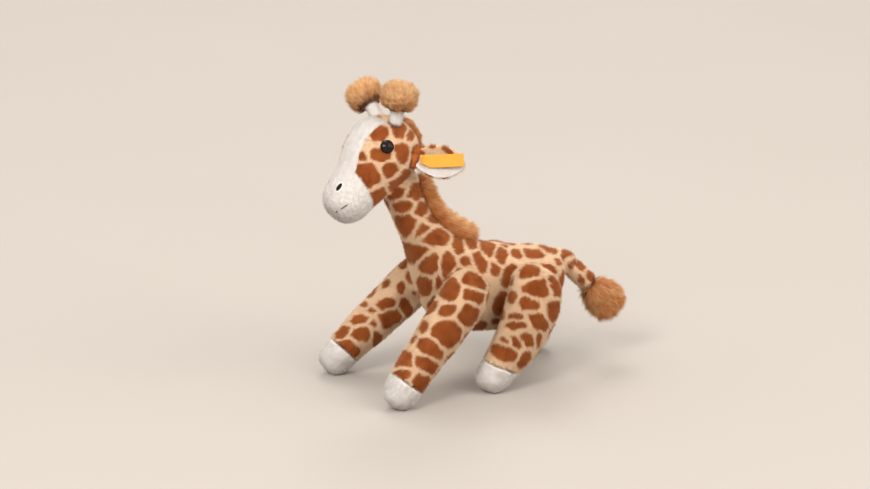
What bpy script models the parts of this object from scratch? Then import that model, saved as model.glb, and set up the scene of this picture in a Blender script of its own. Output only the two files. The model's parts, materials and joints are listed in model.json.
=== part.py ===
"""A floppy stuffed giraffe that stands on its four hooves, its front legs stretched forward.

The toy looks along -X, its left side is -Y and +Z is up. Lengths are metres. The origin is
the middle of the whole toy's footprint, on the floor.
"""

import math

import bmesh
import bpy
from mathutils import Matrix, Vector
from mathutils.bvhtree import BVHTree

# Sewing: walls and clearances that every part shares
WALL = 0.0022
GAP = 0.0003
FILLING_GAP = 0.0006
SOLE_CUT = 0.0005
REACH = 0.12
ROUND_SIDES = 16
SMALL_SIDES = 12
QUARTER = [math.radians(22.5 * step) for step in range(5)]

# Trunk, with the floor at the hooves' soles and X zero at the withers
TRUNK_LENGTH = 0.128
BACK_HEIGHT = 0.106
TRUNK_HALF_WIDTH = 0.0307
TRUNK_WALL = 0.0030

# Neck, a leaning tube that ends in a ball inside the head
NECK_TOP_SETBACK = -0.060
NECK_TOP_HEIGHT = 0.165
NECK_LEAN = math.radians(20)
NECK_RADIUS = 0.0165
NECK_STEP = 0.0095

# Head, measured from the neck's ball to the cranium's middle, then along to the muzzle
CRANIUM_FORWARD = 0.0115
CRANIUM_UP = 0.027
CRANIUM_RADIUS = 0.0268
MUZZLE_DISTANCE = 0.0470
MUZZLE_DROP = math.radians(39.5)
HEAD_YAW = math.radians(10)
BLAZE_HALF_WIDTH = 0.0115
MUZZLE_SEAM_DISTANCE = 0.0370
MUZZLE_SEAM_TILT = math.radians(-12)

# Eyes
EYE_RADIUS = 0.0056
EYE_BULGE = 0.0038
EYE_SINK = 0.0010
SHANK_RADIUS = 0.0016
SHANK_LENGTH = 0.0066
WASHER_RADIUS = 0.0042
WASHER_THICKNESS = 0.0012
WASHER_DEPTH = 0.0038
EYE_AZIMUTH = math.radians(60)
EYE_ELEVATION = math.radians(23.5)

# Embroidery on the muzzle
NOSTRIL_LENGTH = 0.0066
NOSTRIL_WIDTH = 0.0028
NOSTRIL_HEIGHT = 0.0011
THREAD_RADIUS = 0.0007
THREAD_HEIGHT = 0.00105

# Horns
HORN_RADIUS = 0.0052
HORN_LENGTH = 0.0112
HORN_STANDOFF = 0.0024
HORN_SPACING = 0.0130
HORN_BACKSET = 0.0010
TUFT_WIDTH = 0.0275
TUFT_HEIGHT = 0.0205
TUFT_SEAT = 0.0040
HORN_ROUNDING_SHARE = 0.2
TUFT_SHARES = ((0, 0.50), (0.18, 0.92), (0.52, 1.08), (0.86, 1.00), (1.0, 0.62))

# Ears
EAR_LENGTH = 0.0400
EAR_HALF_WIDTH = 0.0132
EAR_CUP = 0.0045
EAR_CUP_SHARE = 0.15
EAR_LAYER = 0.0012
EAR_ROOT_RADIUS = 0.0026
EAR_ROOT_LENGTH = 0.0140

# Cloth label on the left ear
LABEL_LENGTH = 0.0340
LABEL_HEIGHT = 0.0102
LABEL_THICKNESS = 0.0008
LABEL_START = 0.0060
LABEL_RAISE = -0.0025
LABEL_TILT = math.radians(11)
LABEL_LIFT_SHARE = 0.72
LABEL_EDGE_SHARE = 0.25
TACK_BASE_SHARE = 0.20
TACK_LENGTH = 0.0030

# Legs, hanging from their hips, which lie along the trunk and below the back by these shares
FRONT_HIP_SHARES = (-0.180, 0.802)
HIND_HIP_SHARES = (0.273, 0.800)
FRONT_HIP_OUT = 0.0430
HIND_HIP_OUT = 0.0440
LEG_INNER_FACE = 0.0310
BOSS_INNER_FACE = 0.0262
FRONT_BOSS_RADIUS = 0.0130
HIND_BOSS_RADIUS = 0.0110
FRONT_LEG_LENGTH = 0.1080
FRONT_LEG_RADIUS = 0.0190
HIND_LEG_LENGTH = 0.0940
HIND_LEG_RADIUS = 0.0225
FRONT_HOOF_LENGTH = 0.0245
HIND_HOOF_LENGTH = 0.0245
LEG_SWING_LIMIT = math.radians(75)

# Tail, whose root lies along the trunk and below the back by these shares
TAIL_PLACE_SHARES = (0.6700, 0.815)
TAIL_ROOT_RADIUS = 0.0092
TAIL_LENGTH = 0.0280
TAIL_RADIUS = 0.0083
TAIL_DROOP = math.radians(44)
TASSEL_LENGTH = 0.0345
TASSEL_RADIUS = 0.0160

# Manes
MANE_HALF_WIDTH = 0.0068
MANE_HEIGHT = 0.0080
MANE_FULLNESS_SHARE = 0.2
MANE_SHARES = (0.45, 0.9, 1.0, 1.15, 1.4, 1.6, 1.2)
HEAD_MANE_SHARES = (0.45, 0.80, 0.80, 0.70, 0.60, 0.40)
HEAD_MANE_TOP = math.radians(68)
HEAD_MANE_END = math.radians(6)

# Side outline of the trunk from the neck to the rump: the under point and the over point of
# each section, along as a share of the trunk's length, and up as a share where 1 is the back
# and 2 the neck's ball; then its half width as a share of the trunk's, and its squareness,
# where 2 is an ellipse
TRUNK_SHARES = (
    (-0.527, 1.643, -0.305, 1.746, 0.560, 2.0),
    (-0.484, 1.390, -0.250, 1.568, 0.596, 2.0),
    (-0.437, 1.187, -0.187, 1.406, 0.651, 2.0),
    (-0.402, 0.943, -0.098, 1.271, 0.765, 2.0),
    (-0.367, 0.774, 0.000, 1.178, 0.879, 2.3),
    (-0.312, 0.566, 0.102, 1.102, 0.971, 2.3),
    (-0.187, 0.415, 0.211, 1.043, 1.000, 2.3),
    (0.016, 0.363, 0.320, 0.995, 1.000, 2.3),
    (0.234, 0.358, 0.430, 0.988, 0.993, 2.3),
    (0.430, 0.401, 0.540, 0.965, 0.906, 2.3),
    (0.560, 0.509, 0.612, 0.910, 0.681, 2.0),
    (0.622, 0.613, 0.640, 0.800, 0.280, 2.0),
)
# Where the neck's filling meets the trunk's, as a section of the outline above
FILLING_SPLIT = 4

# Head sections: place along the line to the muzzle as a share of the muzzle's distance, lift
# across it and half height as shares of the cranium's radius, then half width
HEAD_SHARES = (
    (-0.570, 0.12, 0.42, 0.36),
    (-0.460, 0.13, 0.79, 0.68),
    (-0.170, 0.19, 1.16, 0.97),
    (0.150, 0.17, 1.18, 1.02),
    (0.430, 0.16, 1.06, 0.91),
    (0.660, 0.07, 0.845, 0.785),
    (0.890, 0.04, 0.785, 0.765),
    (1.120, 0.03, 0.755, 0.745),
    (1.315, 0.02, 0.560, 0.560),
    (1.410, 0.00, 0.270, 0.270),
)

# Leg sections: place down the leg as a share of its length, then shift forward and outward,
# half depth and half width as shares of its radius
FRONT_LEG_SHARES = (
    (-0.175, -0.10, -0.14, 0.56, 0.40),
    (-0.090, -0.10, -0.08, 0.95, 0.78),
    (0.060, -0.12, 0.00, 1.04, 0.93),
    (0.240, -0.09, 0.06, 1.01, 0.91),
    (0.420, -0.04, 0.18, 0.93, 0.88),
    (0.600, 0.02, 0.28, 0.86, 0.84),
    (0.760, 0.02, 0.38, 0.79, 0.79),
    (0.885, 0.02, 0.43, 0.77, 0.77),
    (0.980, 0.02, 0.44, 0.52, 0.52),
)
HIND_LEG_SHARES = (
    (-0.165, -0.15, -0.22, 0.56, 0.34),
    (-0.095, -0.18, -0.12, 0.94, 0.60),
    (0.060, -0.25, 0.00, 1.08, 0.79),
    (0.220, -0.35, 0.02, 1.08, 0.81),
    (0.380, -0.42, 0.00, 0.98, 0.74),
    (0.540, -0.35, -0.04, 0.87, 0.69),
    (0.690, -0.22, -0.08, 0.77, 0.65),
    (0.800, -0.07, -0.10, 0.69, 0.63),
    (0.890, 0.00, -0.11, 0.64, 0.62),
    (0.980, 0.03, -0.11, 0.42, 0.42),
)

# Tail sections: place along the tail, then half width, as shares of its length and radius
TAIL_SHARES = ((-0.08, 0.97), (0.22, 1.00), (0.60, 1.00), (1.00, 0.97))
TASSEL_SHARES = (
    (0.0, 0.50), (0.05, 0.62), (0.35, 0.86), (0.70, 1.00), (0.92, 0.84), (1.00, 0.42),
)
TASSEL_FLATNESS_SHARE = 0.72
TAIL_OVERRUN_SHARE = 1.4

# Outline of an ear: place along it and half width, as shares
EAR_SHARES = (
    (0.06, 0.52), (0.20, 0.76), (0.36, 0.94), (0.52, 1.00), (0.68, 0.92), (0.82, 0.70),
    (0.93, 0.42), (1.0, 0.16),
)
EAR_ACROSS_SHARES = (-1.0, -0.6, -0.2, 0.2, 0.6, 1.0)

# Directions on the head: forward, outward and up
EAR_ROOT_SHARES = (-0.498, 0.833, -0.050)
EAR_BLADE_SHARES = (-0.70, 0.62, -0.15)
NOSTRIL_SHARES = (0.630, 0.481, 0.610)
NOSTRIL_SLANT_SHARES = (0.45, 0.35, 0.82)
MOUTH_SHARES = (
    (0.470, 0.790, -0.130), (0.640, 0.650, -0.260), (0.790, 0.450, -0.370), (0.880, 0.230, -0.430),
    (0.900, 0.0, -0.440),
)

# A nostril's sections: place along it and width, as shares of its half length and half width
NOSTRIL_SECTION_SHARES = ((-1.0, 0.25), (-0.6, 0.8), (0.0, 1.1), (0.6, 0.8), (1.0, 0.25))

# How far each hip has settled along and down in the cloth, and the way its leg stands: 1 is forward
HIP_SETTLINGS = {
    ("front", "left"): (0, 0, 1),
    ("front", "right"): (-0.0040, -0.0080, 1),
    ("hind", "left"): (0, 0, 1),
    ("hind", "right"): (-0.0040, -0.0070, -1),
}

# How far each horn leans out and forward
HORN_LEANS = {
    "left": (math.radians(15), math.radians(-2)),
    "right": (math.radians(41), math.radians(7)),
}

# Where one level of Subdivision Surface draws a loft's sections: the weight of a neighbour on
# each side within the loft, then at an end the neighbour's weight on the middle, and the end's
# own weight and the neighbour's on the half axes
SETTLED_SHARE = 0.125
SETTLED_END_SHARE = 0.222
SETTLED_END_AXES_SHARES = (0.65, 0.24)

CREAM = (0.86, 0.66, 0.47)
GINGER = (0.72, 0.40, 0.17)
WHITE = (0.93, 0.90, 0.86)
FIBRE = (0.90, 0.90, 0.88)
BLACK = (0.012, 0.010, 0.010)
YELLOW = (0.90, 0.62, 0.10)
THREAD = (0.05, 0.03, 0.025)

for old in list(bpy.data.objects):
    bpy.data.objects.remove(old, do_unlink=True)

toy = bpy.data.collections.new("plush_giraffe")
bpy.context.scene.collection.children.link(toy)
tools = bpy.data.collections.new("cutters")
bpy.context.scene.collection.children.link(tools)


def material(name, colour, roughness):
    made = bpy.data.materials.new(name)
    made.use_nodes = True
    shader = made.node_tree.nodes["Principled BSDF"]
    shader.inputs["Base Color"].default_value = (*colour, 1)
    shader.inputs["Roughness"].default_value = roughness
    shader.inputs["Metallic"].default_value = 0
    return made


def pivot(name, parent=None, location=(0, 0, 0), rotation=None):
    """An empty that carries the pieces of one body, on its joint's axis."""
    made = bpy.data.objects.new(name, None)
    toy.objects.link(made)
    made.parent = parent
    made.matrix_basis = Matrix.Translation(location) @ (rotation or Matrix()).to_4x4()
    return made


def add(name, mesh, parent, finish=None):
    """Puts a mesh in the toy, or among the cutters when it has no finish."""
    made = bpy.data.objects.new(name, mesh)
    made.parent = parent
    if finish:
        toy.objects.link(made)
        mesh.materials.append(material(name, *finish))
        mesh.shade_smooth()
    else:
        tools.objects.link(made)
        made.hide_render = True
        made.display_type = "WIRE"
    return made


def swell(obj, levels):
    if levels:
        smooth = obj.modifiers.new("Swell", "SUBSURF")
        smooth.levels = levels
        smooth.render_levels = levels
    return obj


def boolean(obj, operand, operation="DIFFERENCE"):
    step = obj.modifiers.new(operand.name, "BOOLEAN")
    step.operation = operation
    step.object = operand
    step.solver = "EXACT"
    return obj


def ring(centre, across, along, squareness=2):
    """A section: its middle and its two half axes as vectors."""
    return centre, across, along, squareness


def inset_rings(rings, inset):
    """The same sections drawn in by a wall on every side, or grown by a clearance."""
    drawn = []
    for centre, across, along, squareness in rings:
        across = across * (1 - inset / across.length)
        along = along * (1 - inset / along.length)
        drawn.append([centre, across, along, squareness])
    for end, neighbour in ((0, 1), (-1, -2)):
        step = rings[neighbour][0] - rings[end][0]
        drawn[end][0] = rings[end][0] + step.normalized() * inset
    return drawn


def settled_rings(rings):
    """The sections as Subdivision Surface leaves them, for what lies inside the swelled form."""
    keep = 1 - 2 * SETTLED_SHARE
    settled = []
    for before, here, after in zip(rings, rings[1:], rings[2:]):
        moved = [here[k] * keep + (before[k] + after[k]) * SETTLED_SHARE for k in range(3)]
        settled.append((*moved, here[3]))
    ends = []
    own, beside = SETTLED_END_AXES_SHARES
    for end, neighbour in ((rings[0], rings[1]), (rings[-1], rings[-2])):
        axes = [end[k] * own + neighbour[k] * beside for k in (1, 2)]
        ends.append((end[0].lerp(neighbour[0], SETTLED_END_SHARE), *axes, end[3]))
    return [ends[0], *settled, ends[1]]


def sack_mesh(name, rings, sides=8, levels=1):
    """A closed loft through elliptical sections, which Subdivision Surface rounds off.

    Without levels it is triangles, so that nested cores never cross at a bent face's diagonal.
    """
    bm = bmesh.new()
    fit = 1 / math.cos(math.pi / sides) if levels else 1
    loops = []
    for centre, across, along, squareness in rings:
        loop = []
        for turn in range(sides):
            angle = math.tau * turn / sides
            c, s = math.cos(angle), math.sin(angle)
            c = math.copysign(abs(c) ** (2 / squareness), c)
            s = math.copysign(abs(s) ** (2 / squareness), s)
            loop.append(bm.verts.new(centre + (across * c + along * s) * fit))
        loops.append(loop)
    for low, high in zip(loops, loops[1:]):
        for turn in range(sides):
            after = (turn + 1) % sides
            if levels:
                bm.faces.new((low[turn], low[after], high[after], high[turn]))
            else:
                bm.faces.new((low[turn], low[after], high[after]))
                bm.faces.new((low[turn], high[after], high[turn]))
    bm.faces.new(loops[0])
    bm.faces.new(loops[-1])
    bmesh.ops.recalc_face_normals(bm, faces=bm.faces)
    return finish_mesh(name, bm)


def finish_mesh(name, bm):
    mesh = bpy.data.meshes.new(name)
    bm.to_mesh(mesh)
    bm.free()
    return mesh


def sack(name, rings, parent, finish=None, sides=8, levels=1, inset=0.0):
    if inset:
        rings = inset_rings(rings, inset)
    return swell(add(name, sack_mesh(name, rings, sides, levels), parent, finish), levels)


def core(name, rings, parent, inset, finish=None, sides=12):
    """What lies inside a sack, all of it this far from the sack's outside."""
    return sack(name, settled_rings(rings), parent, finish, sides=sides, levels=0, inset=inset)


def box(name, low, high, parent):
    """A cutter box between two corners."""
    bm = bmesh.new()
    low, high = Vector(low), Vector(high)
    bmesh.ops.create_cube(bm, size=1)
    bmesh.ops.scale(bm, vec=high - low, verts=bm.verts)
    bmesh.ops.translate(bm, vec=(low + high) / 2, verts=bm.verts)
    return add(name, finish_mesh(name, bm), parent)


def clear_of(radius, sides=ROUND_SIDES, curves=1):
    """The radius of a faceted seat whose flats all clear a round piece of this radius."""
    return (radius + GAP) / math.cos(math.pi / sides) ** curves


def within(radius, sides=ROUND_SIDES, curves=1):
    """The radius of a round piece that clears every flat of the faceted hollow around it."""
    return radius * math.cos(math.pi / sides) ** curves - GAP


def ball(name, radius, parent, centre=(0, 0, 0), finish=None, sides=ROUND_SIDES):
    bm = bmesh.new()
    bmesh.ops.create_uvsphere(bm, u_segments=sides, v_segments=sides // 2, radius=radius)
    bmesh.ops.translate(bm, vec=centre, verts=bm.verts)
    return add(name, finish_mesh(name, bm), parent, finish)


def rod(name, radius, start, end, parent, finish=None, sides=ROUND_SIDES):
    """A cylinder between two points."""
    start, end = Vector(start), Vector(end)
    bm = bmesh.new()
    bmesh.ops.create_cone(
        bm, cap_ends=True, segments=sides, radius1=radius, radius2=radius, depth=(end - start).length
    )
    turn = (end - start).to_track_quat("Z", "Y").to_matrix().to_4x4()
    bmesh.ops.transform(bm, matrix=Matrix.Translation((start + end) / 2) @ turn, verts=bm.verts)
    return add(name, finish_mesh(name, bm), parent, finish)


def turned(name, profile, parent, finish=None, steps=ROUND_SIDES, closed=False):
    """A shape turned about Z from a profile of (radius, height), which runs down its outer side."""
    bm = bmesh.new()
    points = [bm.verts.new((radius, 0, height)) for radius, height in profile]
    for upper, lower in zip(points, points[1:]):
        bm.edges.new((upper, lower))
    if closed:
        bm.edges.new((points[-1], points[0]))
    made = add(name, finish_mesh(name, bm), parent, finish)
    screw = made.modifiers.new("Turn", "SCREW")
    screw.steps = steps
    screw.render_steps = steps
    screw.use_merge_vertices = True
    screw.merge_threshold = 0.00001
    screw.use_smooth_shade = True
    return made


def surface(obj, origin, direction):
    """The point where a ray from inside an object leaves it, in the object's own space."""
    bpy.context.view_layer.update()
    tree = BVHTree.FromObject(obj, bpy.context.evaluated_depsgraph_get())
    point, normal, _, _ = tree.ray_cast(Vector(origin), Vector(direction).normalized())
    return point, normal


def frame_of(x_axis, z_axis):
    """A rotation whose X and Z are as near as can be to two directions."""
    x_axis = Vector(x_axis).normalized()
    y_axis = Vector(z_axis).cross(x_axis).normalized()
    return Matrix((x_axis, y_axis, x_axis.cross(y_axis))).transposed()


root = pivot("toy_origin")
plush = (CREAM, 0.95)
white_plush = (WHITE, 0.9)
fibre = (FIBRE, 1.0)
fur = (GINGER, 1.0)
embroidery = (THREAD, 0.6)
tape = (YELLOW, 0.7)
eye_gloss = (BLACK, 0.08)
washer_plastic = (WHITE, 0.5)


def height_at(share):
    """A height on the body, where 1 is the back and 2 the neck's ball."""
    return BACK_HEIGHT * min(share, 1) + (NECK_TOP_HEIGHT - BACK_HEIGHT) * max(share - 1, 0)


def trunk_rings():
    """Sections from inside the neck's ball, down the neck and along the trunk to the rump."""
    neck_axis = Vector((-math.sin(NECK_LEAN), 0, math.cos(NECK_LEAN)))
    neck_across = Vector((math.cos(NECK_LEAN), 0, math.sin(NECK_LEAN)))
    neck_top = Vector((NECK_TOP_SETBACK, 0, NECK_TOP_HEIGHT))
    rings = []
    for step in (0, 1):
        centre = neck_top - neck_axis * NECK_STEP * step
        rings.append(ring(centre, neck_across * NECK_RADIUS, Vector((0, NECK_RADIUS, 0))))
    for under_x, under_z, over_x, over_z, width, squareness in TRUNK_SHARES:
        under = Vector((under_x * TRUNK_LENGTH, 0, height_at(under_z)))
        over = Vector((over_x * TRUNK_LENGTH, 0, height_at(over_z)))
        half_width = Vector((0, width * TRUNK_HALF_WIDTH, 0))
        rings.append(ring((under + over) / 2, (over - under) / 2, half_width, squareness))
    return neck_top, neck_axis, rings


neck_top, neck_axis, body_rings = trunk_rings()


def with_neck_ball(form, inset=0.0):
    """Rounds off the top of the neck, where the head sits."""
    return boolean(form, ball(form.name + "_ball", NECK_RADIUS - inset, root, neck_top), "UNION")


def half_space(name, side, parent):
    """A cutter that takes away the half of a body on one side, with half the seam's gap."""
    low, high = sorted((-side * GAP / 2, side * REACH * 2))
    return box(name, (-REACH * 2, low, -REACH * 2), (REACH * 2, high, REACH * 3), parent)


body_clearance = with_neck_ball(sack("body_clearance", body_rings, root, inset=-GAP), -GAP)
body_cavity = with_neck_ball(core("body_cavity", body_rings, root, TRUNK_WALL), WALL)

hips = {}
for end, (hip_along, hip_up), hip_out, boss_radius in (
    ("front", FRONT_HIP_SHARES, FRONT_HIP_OUT, FRONT_BOSS_RADIUS),
    ("hind", HIND_HIP_SHARES, HIND_HIP_OUT, HIND_BOSS_RADIUS),
):
    for side_name, side in (("left", -1), ("right", 1)):
        along, down, _ = HIP_SETTLINGS[end, side_name]
        hip = Vector((hip_along * TRUNK_LENGTH + along, side * hip_out, hip_up * BACK_HEIGHT + down))
        inner = Vector((hip.x, side * (BOSS_INNER_FACE - GAP), hip.z))
        recess = rod(f"{end}_{side_name}_recess", clear_of(boss_radius), inner, hip, root)
        hips[end, side_name] = hip, recess

tail_along, tail_up = TAIL_PLACE_SHARES
tail_root = Vector((tail_along * TRUNK_LENGTH, 0, tail_up * BACK_HEIGHT))
tail_space = clear_of(TAIL_ROOT_RADIUS, SMALL_SIDES, 2)
tail_socket = ball("tail_socket", tail_space, root, tail_root, sides=SMALL_SIDES)


def open_seats(obj):
    """Cuts the openings that the legs and the tail are sewn into."""
    for _, recess in hips.values():
        boolean(obj, recess)
    return boolean(obj, tail_socket)


def make_body():
    for side_name, side in (("left", -1), ("right", 1)):
        name = f"body_skin_{side_name}"
        skin = with_neck_ball(sack(name, body_rings, root, plush))
        boolean(skin, half_space(name + "_half", -side, root))
        boolean(skin, body_cavity)
        open_seats(skin)

    split = body_rings[2 + FILLING_SPLIT]
    turn = frame_of(split[1], Vector((0, 1, 0)).cross(split[1]))
    for name, above in (("trunk_stuffing", -1), ("neck_stuffing", 1)):
        filling = core(name, body_rings, root, TRUNK_WALL + FILLING_GAP, fibre)
        low, high = sorted((-above * GAP / 2, above * REACH))
        slab = box(name + "_cut", (-REACH, -REACH, low), (REACH, REACH, high), root)
        slab.matrix_basis = Matrix.Translation(split[0]) @ turn.to_4x4()
        boolean(filling, slab)
        if name == "trunk_stuffing":
            open_seats(filling)
        else:
            start = neck_top - neck_axis * NECK_STEP / 2
            boolean(filling, rod(name + "_top", REACH / 2, start, neck_top + neck_axis * REACH, root))


make_body()

yaw = Matrix.Rotation(HEAD_YAW, 3, neck_axis)
neck_pivot = pivot("head_turn_pivot", root, neck_top, yaw)
head_pivot = pivot("head_nod_pivot", neck_pivot)


def make_neck_core():
    """The wad of filling in the neck's ball, which the head turns with."""
    radius = within(NECK_RADIUS - WALL, ROUND_SIDES, 2)
    wad = ball("neck_core_stuffing", radius, neck_pivot, finish=fibre)
    end = neck_axis * -(NECK_STEP / 2 - GAP)
    return boolean(wad, rod("neck_core_cut", REACH / 2, neck_axis * -REACH, end, neck_pivot))


make_neck_core()

# The head in its own frame: the neck's ball is its origin and it looks along -X
cranium = Vector((-CRANIUM_FORWARD, 0, CRANIUM_UP))
muzzle_axis = Vector((-math.cos(MUZZLE_DROP), 0, -math.sin(MUZZLE_DROP)))
muzzle_up = Vector((-math.sin(MUZZLE_DROP), 0, math.cos(MUZZLE_DROP)))
muzzle = cranium + muzzle_axis * MUZZLE_DISTANCE
head_rings = [
    ring(
        cranium + muzzle_axis * place * MUZZLE_DISTANCE + muzzle_up * lift * CRANIUM_RADIUS,
        muzzle_up * height * CRANIUM_RADIUS,
        Vector((0, width * CRANIUM_RADIUS, 0)),
    )
    for place, lift, height, width in HEAD_SHARES
]
head_form = sack("head_form", head_rings, head_pivot)
head_clearance = sack("head_clearance", head_rings, head_pivot, inset=-GAP)
head_cavity = core("head_cavity", head_rings, head_pivot, WALL)
head_socket = ball("head_socket", clear_of(NECK_RADIUS, ROUND_SIDES, 2), head_pivot)


def on_head(shares, origin=cranium, side=-1):
    """The head's surface, and its normal, in a direction given as forward, outward and up."""
    forward, outward, up = shares
    return surface(head_form, origin, (-forward, side * outward, up))


def face_cutter(name, margin):
    """The muzzle and the blaze that runs up the forehead, as one cutter."""
    turn = Matrix((-muzzle_axis, Vector((0, 1, 0)), muzzle_up)).transposed()
    tilt = Matrix.Rotation(-MUZZLE_SEAM_TILT, 3, "Y")
    seam = cranium + muzzle_axis * (MUZZLE_SEAM_DISTANCE - margin)
    cup = box(name, (-REACH, -REACH, -REACH), (0, REACH, REACH), head_pivot)
    cup.matrix_basis = Matrix.Translation(seam) @ (turn @ tilt).to_4x4()
    half = BLAZE_HALF_WIDTH + margin
    blaze = box(
        name + "_blaze",
        (-MUZZLE_SEAM_DISTANCE - HORN_RADIUS, -half, 0),
        (CRANIUM_RADIUS / 2 + margin, half, REACH / 2),
        head_pivot,
    )
    blaze.matrix_basis = Matrix.Translation(cranium) @ turn.to_4x4()
    return boolean(cup, blaze, "UNION")


face_space = face_cutter("face_space", 0)
face_clearance = face_cutter("face_clearance", GAP)

eye_places = {}
horn_places = {}
ear_places = {}
for side_name, side in (("left", -1), ("right", 1)):
    flat = math.cos(EYE_ELEVATION)
    forward, outward = math.cos(EYE_AZIMUTH) * flat, math.sin(EYE_AZIMUTH) * flat
    eye_places[side_name] = on_head((forward, outward, math.sin(EYE_ELEVATION)), side=side)
    reach = Vector((HORN_BACKSET, side * HORN_SPACING, CRANIUM_RADIUS))
    horn_places[side_name] = surface(head_form, cranium, reach)
    ear_places[side_name] = on_head(EAR_ROOT_SHARES, side=side)[0]

ear_frames = {}
for side_name, side in (("left", -1), ("right", 1)):
    forward, outward, up = EAR_BLADE_SHARES
    blade = Vector((-forward, side * outward, up))
    out = ear_places[side_name] - cranium
    hinge = out.cross(blade)
    hinge = hinge if hinge.z > 0 else -hinge
    ear_frames[side_name] = frame_of(blade, hinge)


def head_seats(obj, deep):
    """Cuts what the horns, ears and eyes are set into, the eyes deeper in the filling."""
    boolean(obj, head_socket)
    for side_name in ("left", "right"):
        boolean(obj, seat_cutters["horn", side_name])
        boolean(obj, seat_cutters["ear", side_name])
        boolean(obj, seat_cutters["eye_deep" if deep else "eye", side_name])
        if not deep:
            boolean(obj, seat_cutters["shank", side_name])
    return obj


horn_feet = {}
seat_cutters = {}
for side_name in ("left", "right"):
    point, _ = horn_places[side_name]
    horn_feet[side_name] = point + (point - cranium).normalized() * HORN_STANDOFF
    space = clear_of(HORN_RADIUS, SMALL_SIDES, 2)
    seat_cutters["horn", side_name] = ball(
        f"horn_seat_{side_name}", space, head_pivot, horn_feet[side_name], sides=SMALL_SIDES
    )
    half = ear_frames[side_name].col[2] * (EAR_ROOT_LENGTH / 2 + GAP)
    root_point = ear_places[side_name]
    space = clear_of(EAR_ROOT_RADIUS, SMALL_SIDES)
    seat_cutters["ear", side_name] = rod(
        f"ear_seat_{side_name}", space, root_point - half, root_point + half, head_pivot, sides=SMALL_SIDES
    )
    point, out = eye_places[side_name]
    outside = point + out * EYE_RADIUS
    floor = point - out * EYE_SINK
    end = floor - out * SHANK_LENGTH
    for label, space, start, sides in (
        ("eye", clear_of(EYE_RADIUS), floor, ROUND_SIDES),
        ("shank", clear_of(SHANK_RADIUS, SMALL_SIDES), end, SMALL_SIDES),
        ("eye_deep", clear_of(WASHER_RADIUS), end - out * GAP, ROUND_SIDES),
    ):
        seat_cutters[label, side_name] = rod(
            f"{label}_seat_{side_name}", space, start, outside, head_pivot, sides=sides
        )


def make_head():
    for side_name, side in (("left", -1), ("right", 1)):
        cheek = sack(f"head_skin_{side_name}", head_rings, head_pivot, plush)
        boolean(cheek, head_cavity)
        boolean(cheek, half_space(f"head_half_{side_name}", -side, head_pivot))
        boolean(cheek, face_clearance)
        head_seats(cheek, deep=False)
    face = sack("muzzle_skin", head_rings, head_pivot, white_plush)
    boolean(face, head_cavity)
    boolean(face, face_space, "INTERSECT")
    for side_name in ("left", "right"):
        boolean(face, seat_cutters["horn", side_name])
    head_seats(core("head_stuffing", head_rings, head_pivot, WALL + FILLING_GAP, fibre), deep=True)


def make_eyes():
    for side_name in ("left", "right"):
        point, out = eye_places[side_name]
        stand = pivot(f"eye_place_{side_name}", head_pivot, point, frame_of(out.orthogonal(), out))
        base = GAP - EYE_SINK
        dome = [(EYE_RADIUS * math.sin(turn), base + EYE_BULGE * math.cos(turn)) for turn in QUARTER]
        end = base - SHANK_LENGTH + GAP * 2
        shank = [(SHANK_RADIUS, base), (SHANK_RADIUS, end), (0, end)]
        turned(f"eye_{side_name}", dome + shank, stand, eye_gloss)
        top = -WASHER_DEPTH
        low = top - WASHER_THICKNESS
        bore = SHANK_RADIUS + GAP
        profile = [(bore, top), (WASHER_RADIUS, top), (WASHER_RADIUS, low), (bore, low)]
        turned(f"eye_washer_{side_name}", profile, stand, washer_plastic, SMALL_SIDES, closed=True)


def make_embroidery():
    for side_name, side in (("left", -1), ("right", 1)):
        point, normal = on_head(NOSTRIL_SHARES, muzzle, side)
        forward, outward, up = NOSTRIL_SLANT_SHARES
        slant = Vector((-forward, side * outward, up))
        lie = frame_of(slant - normal * slant.dot(normal), normal)
        rings = [
            ring(
                point + lie.col[0] * NOSTRIL_LENGTH * place / 2,
                lie.col[1] * NOSTRIL_WIDTH * width / 2,
                lie.col[2] * NOSTRIL_HEIGHT * width,
            )
            for place, width in NOSTRIL_SECTION_SHARES
        ]
        stitch = sack(f"nostril_stitch_{side_name}", rings, head_pivot, embroidery, sides=6)
        boolean(stitch, head_clearance)
    half = [on_head(shares, muzzle, -1) for shares in MOUTH_SHARES]
    other = [on_head(shares, muzzle, 1) for shares in MOUTH_SHARES[-2::-1]]
    line = half + other
    rings = []
    for index, (point, normal) in enumerate(line):
        before = line[max(index - 1, 0)][0]
        after = line[min(index + 1, len(line) - 1)][0]
        lie = frame_of(after - before, normal)
        rings.append(ring(point, lie.col[1] * THREAD_RADIUS, lie.col[2] * THREAD_HEIGHT))
    boolean(sack("mouth_stitch", rings, head_pivot, embroidery, sides=6, levels=0), head_clearance)


make_head()
make_eyes()
make_embroidery()


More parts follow.
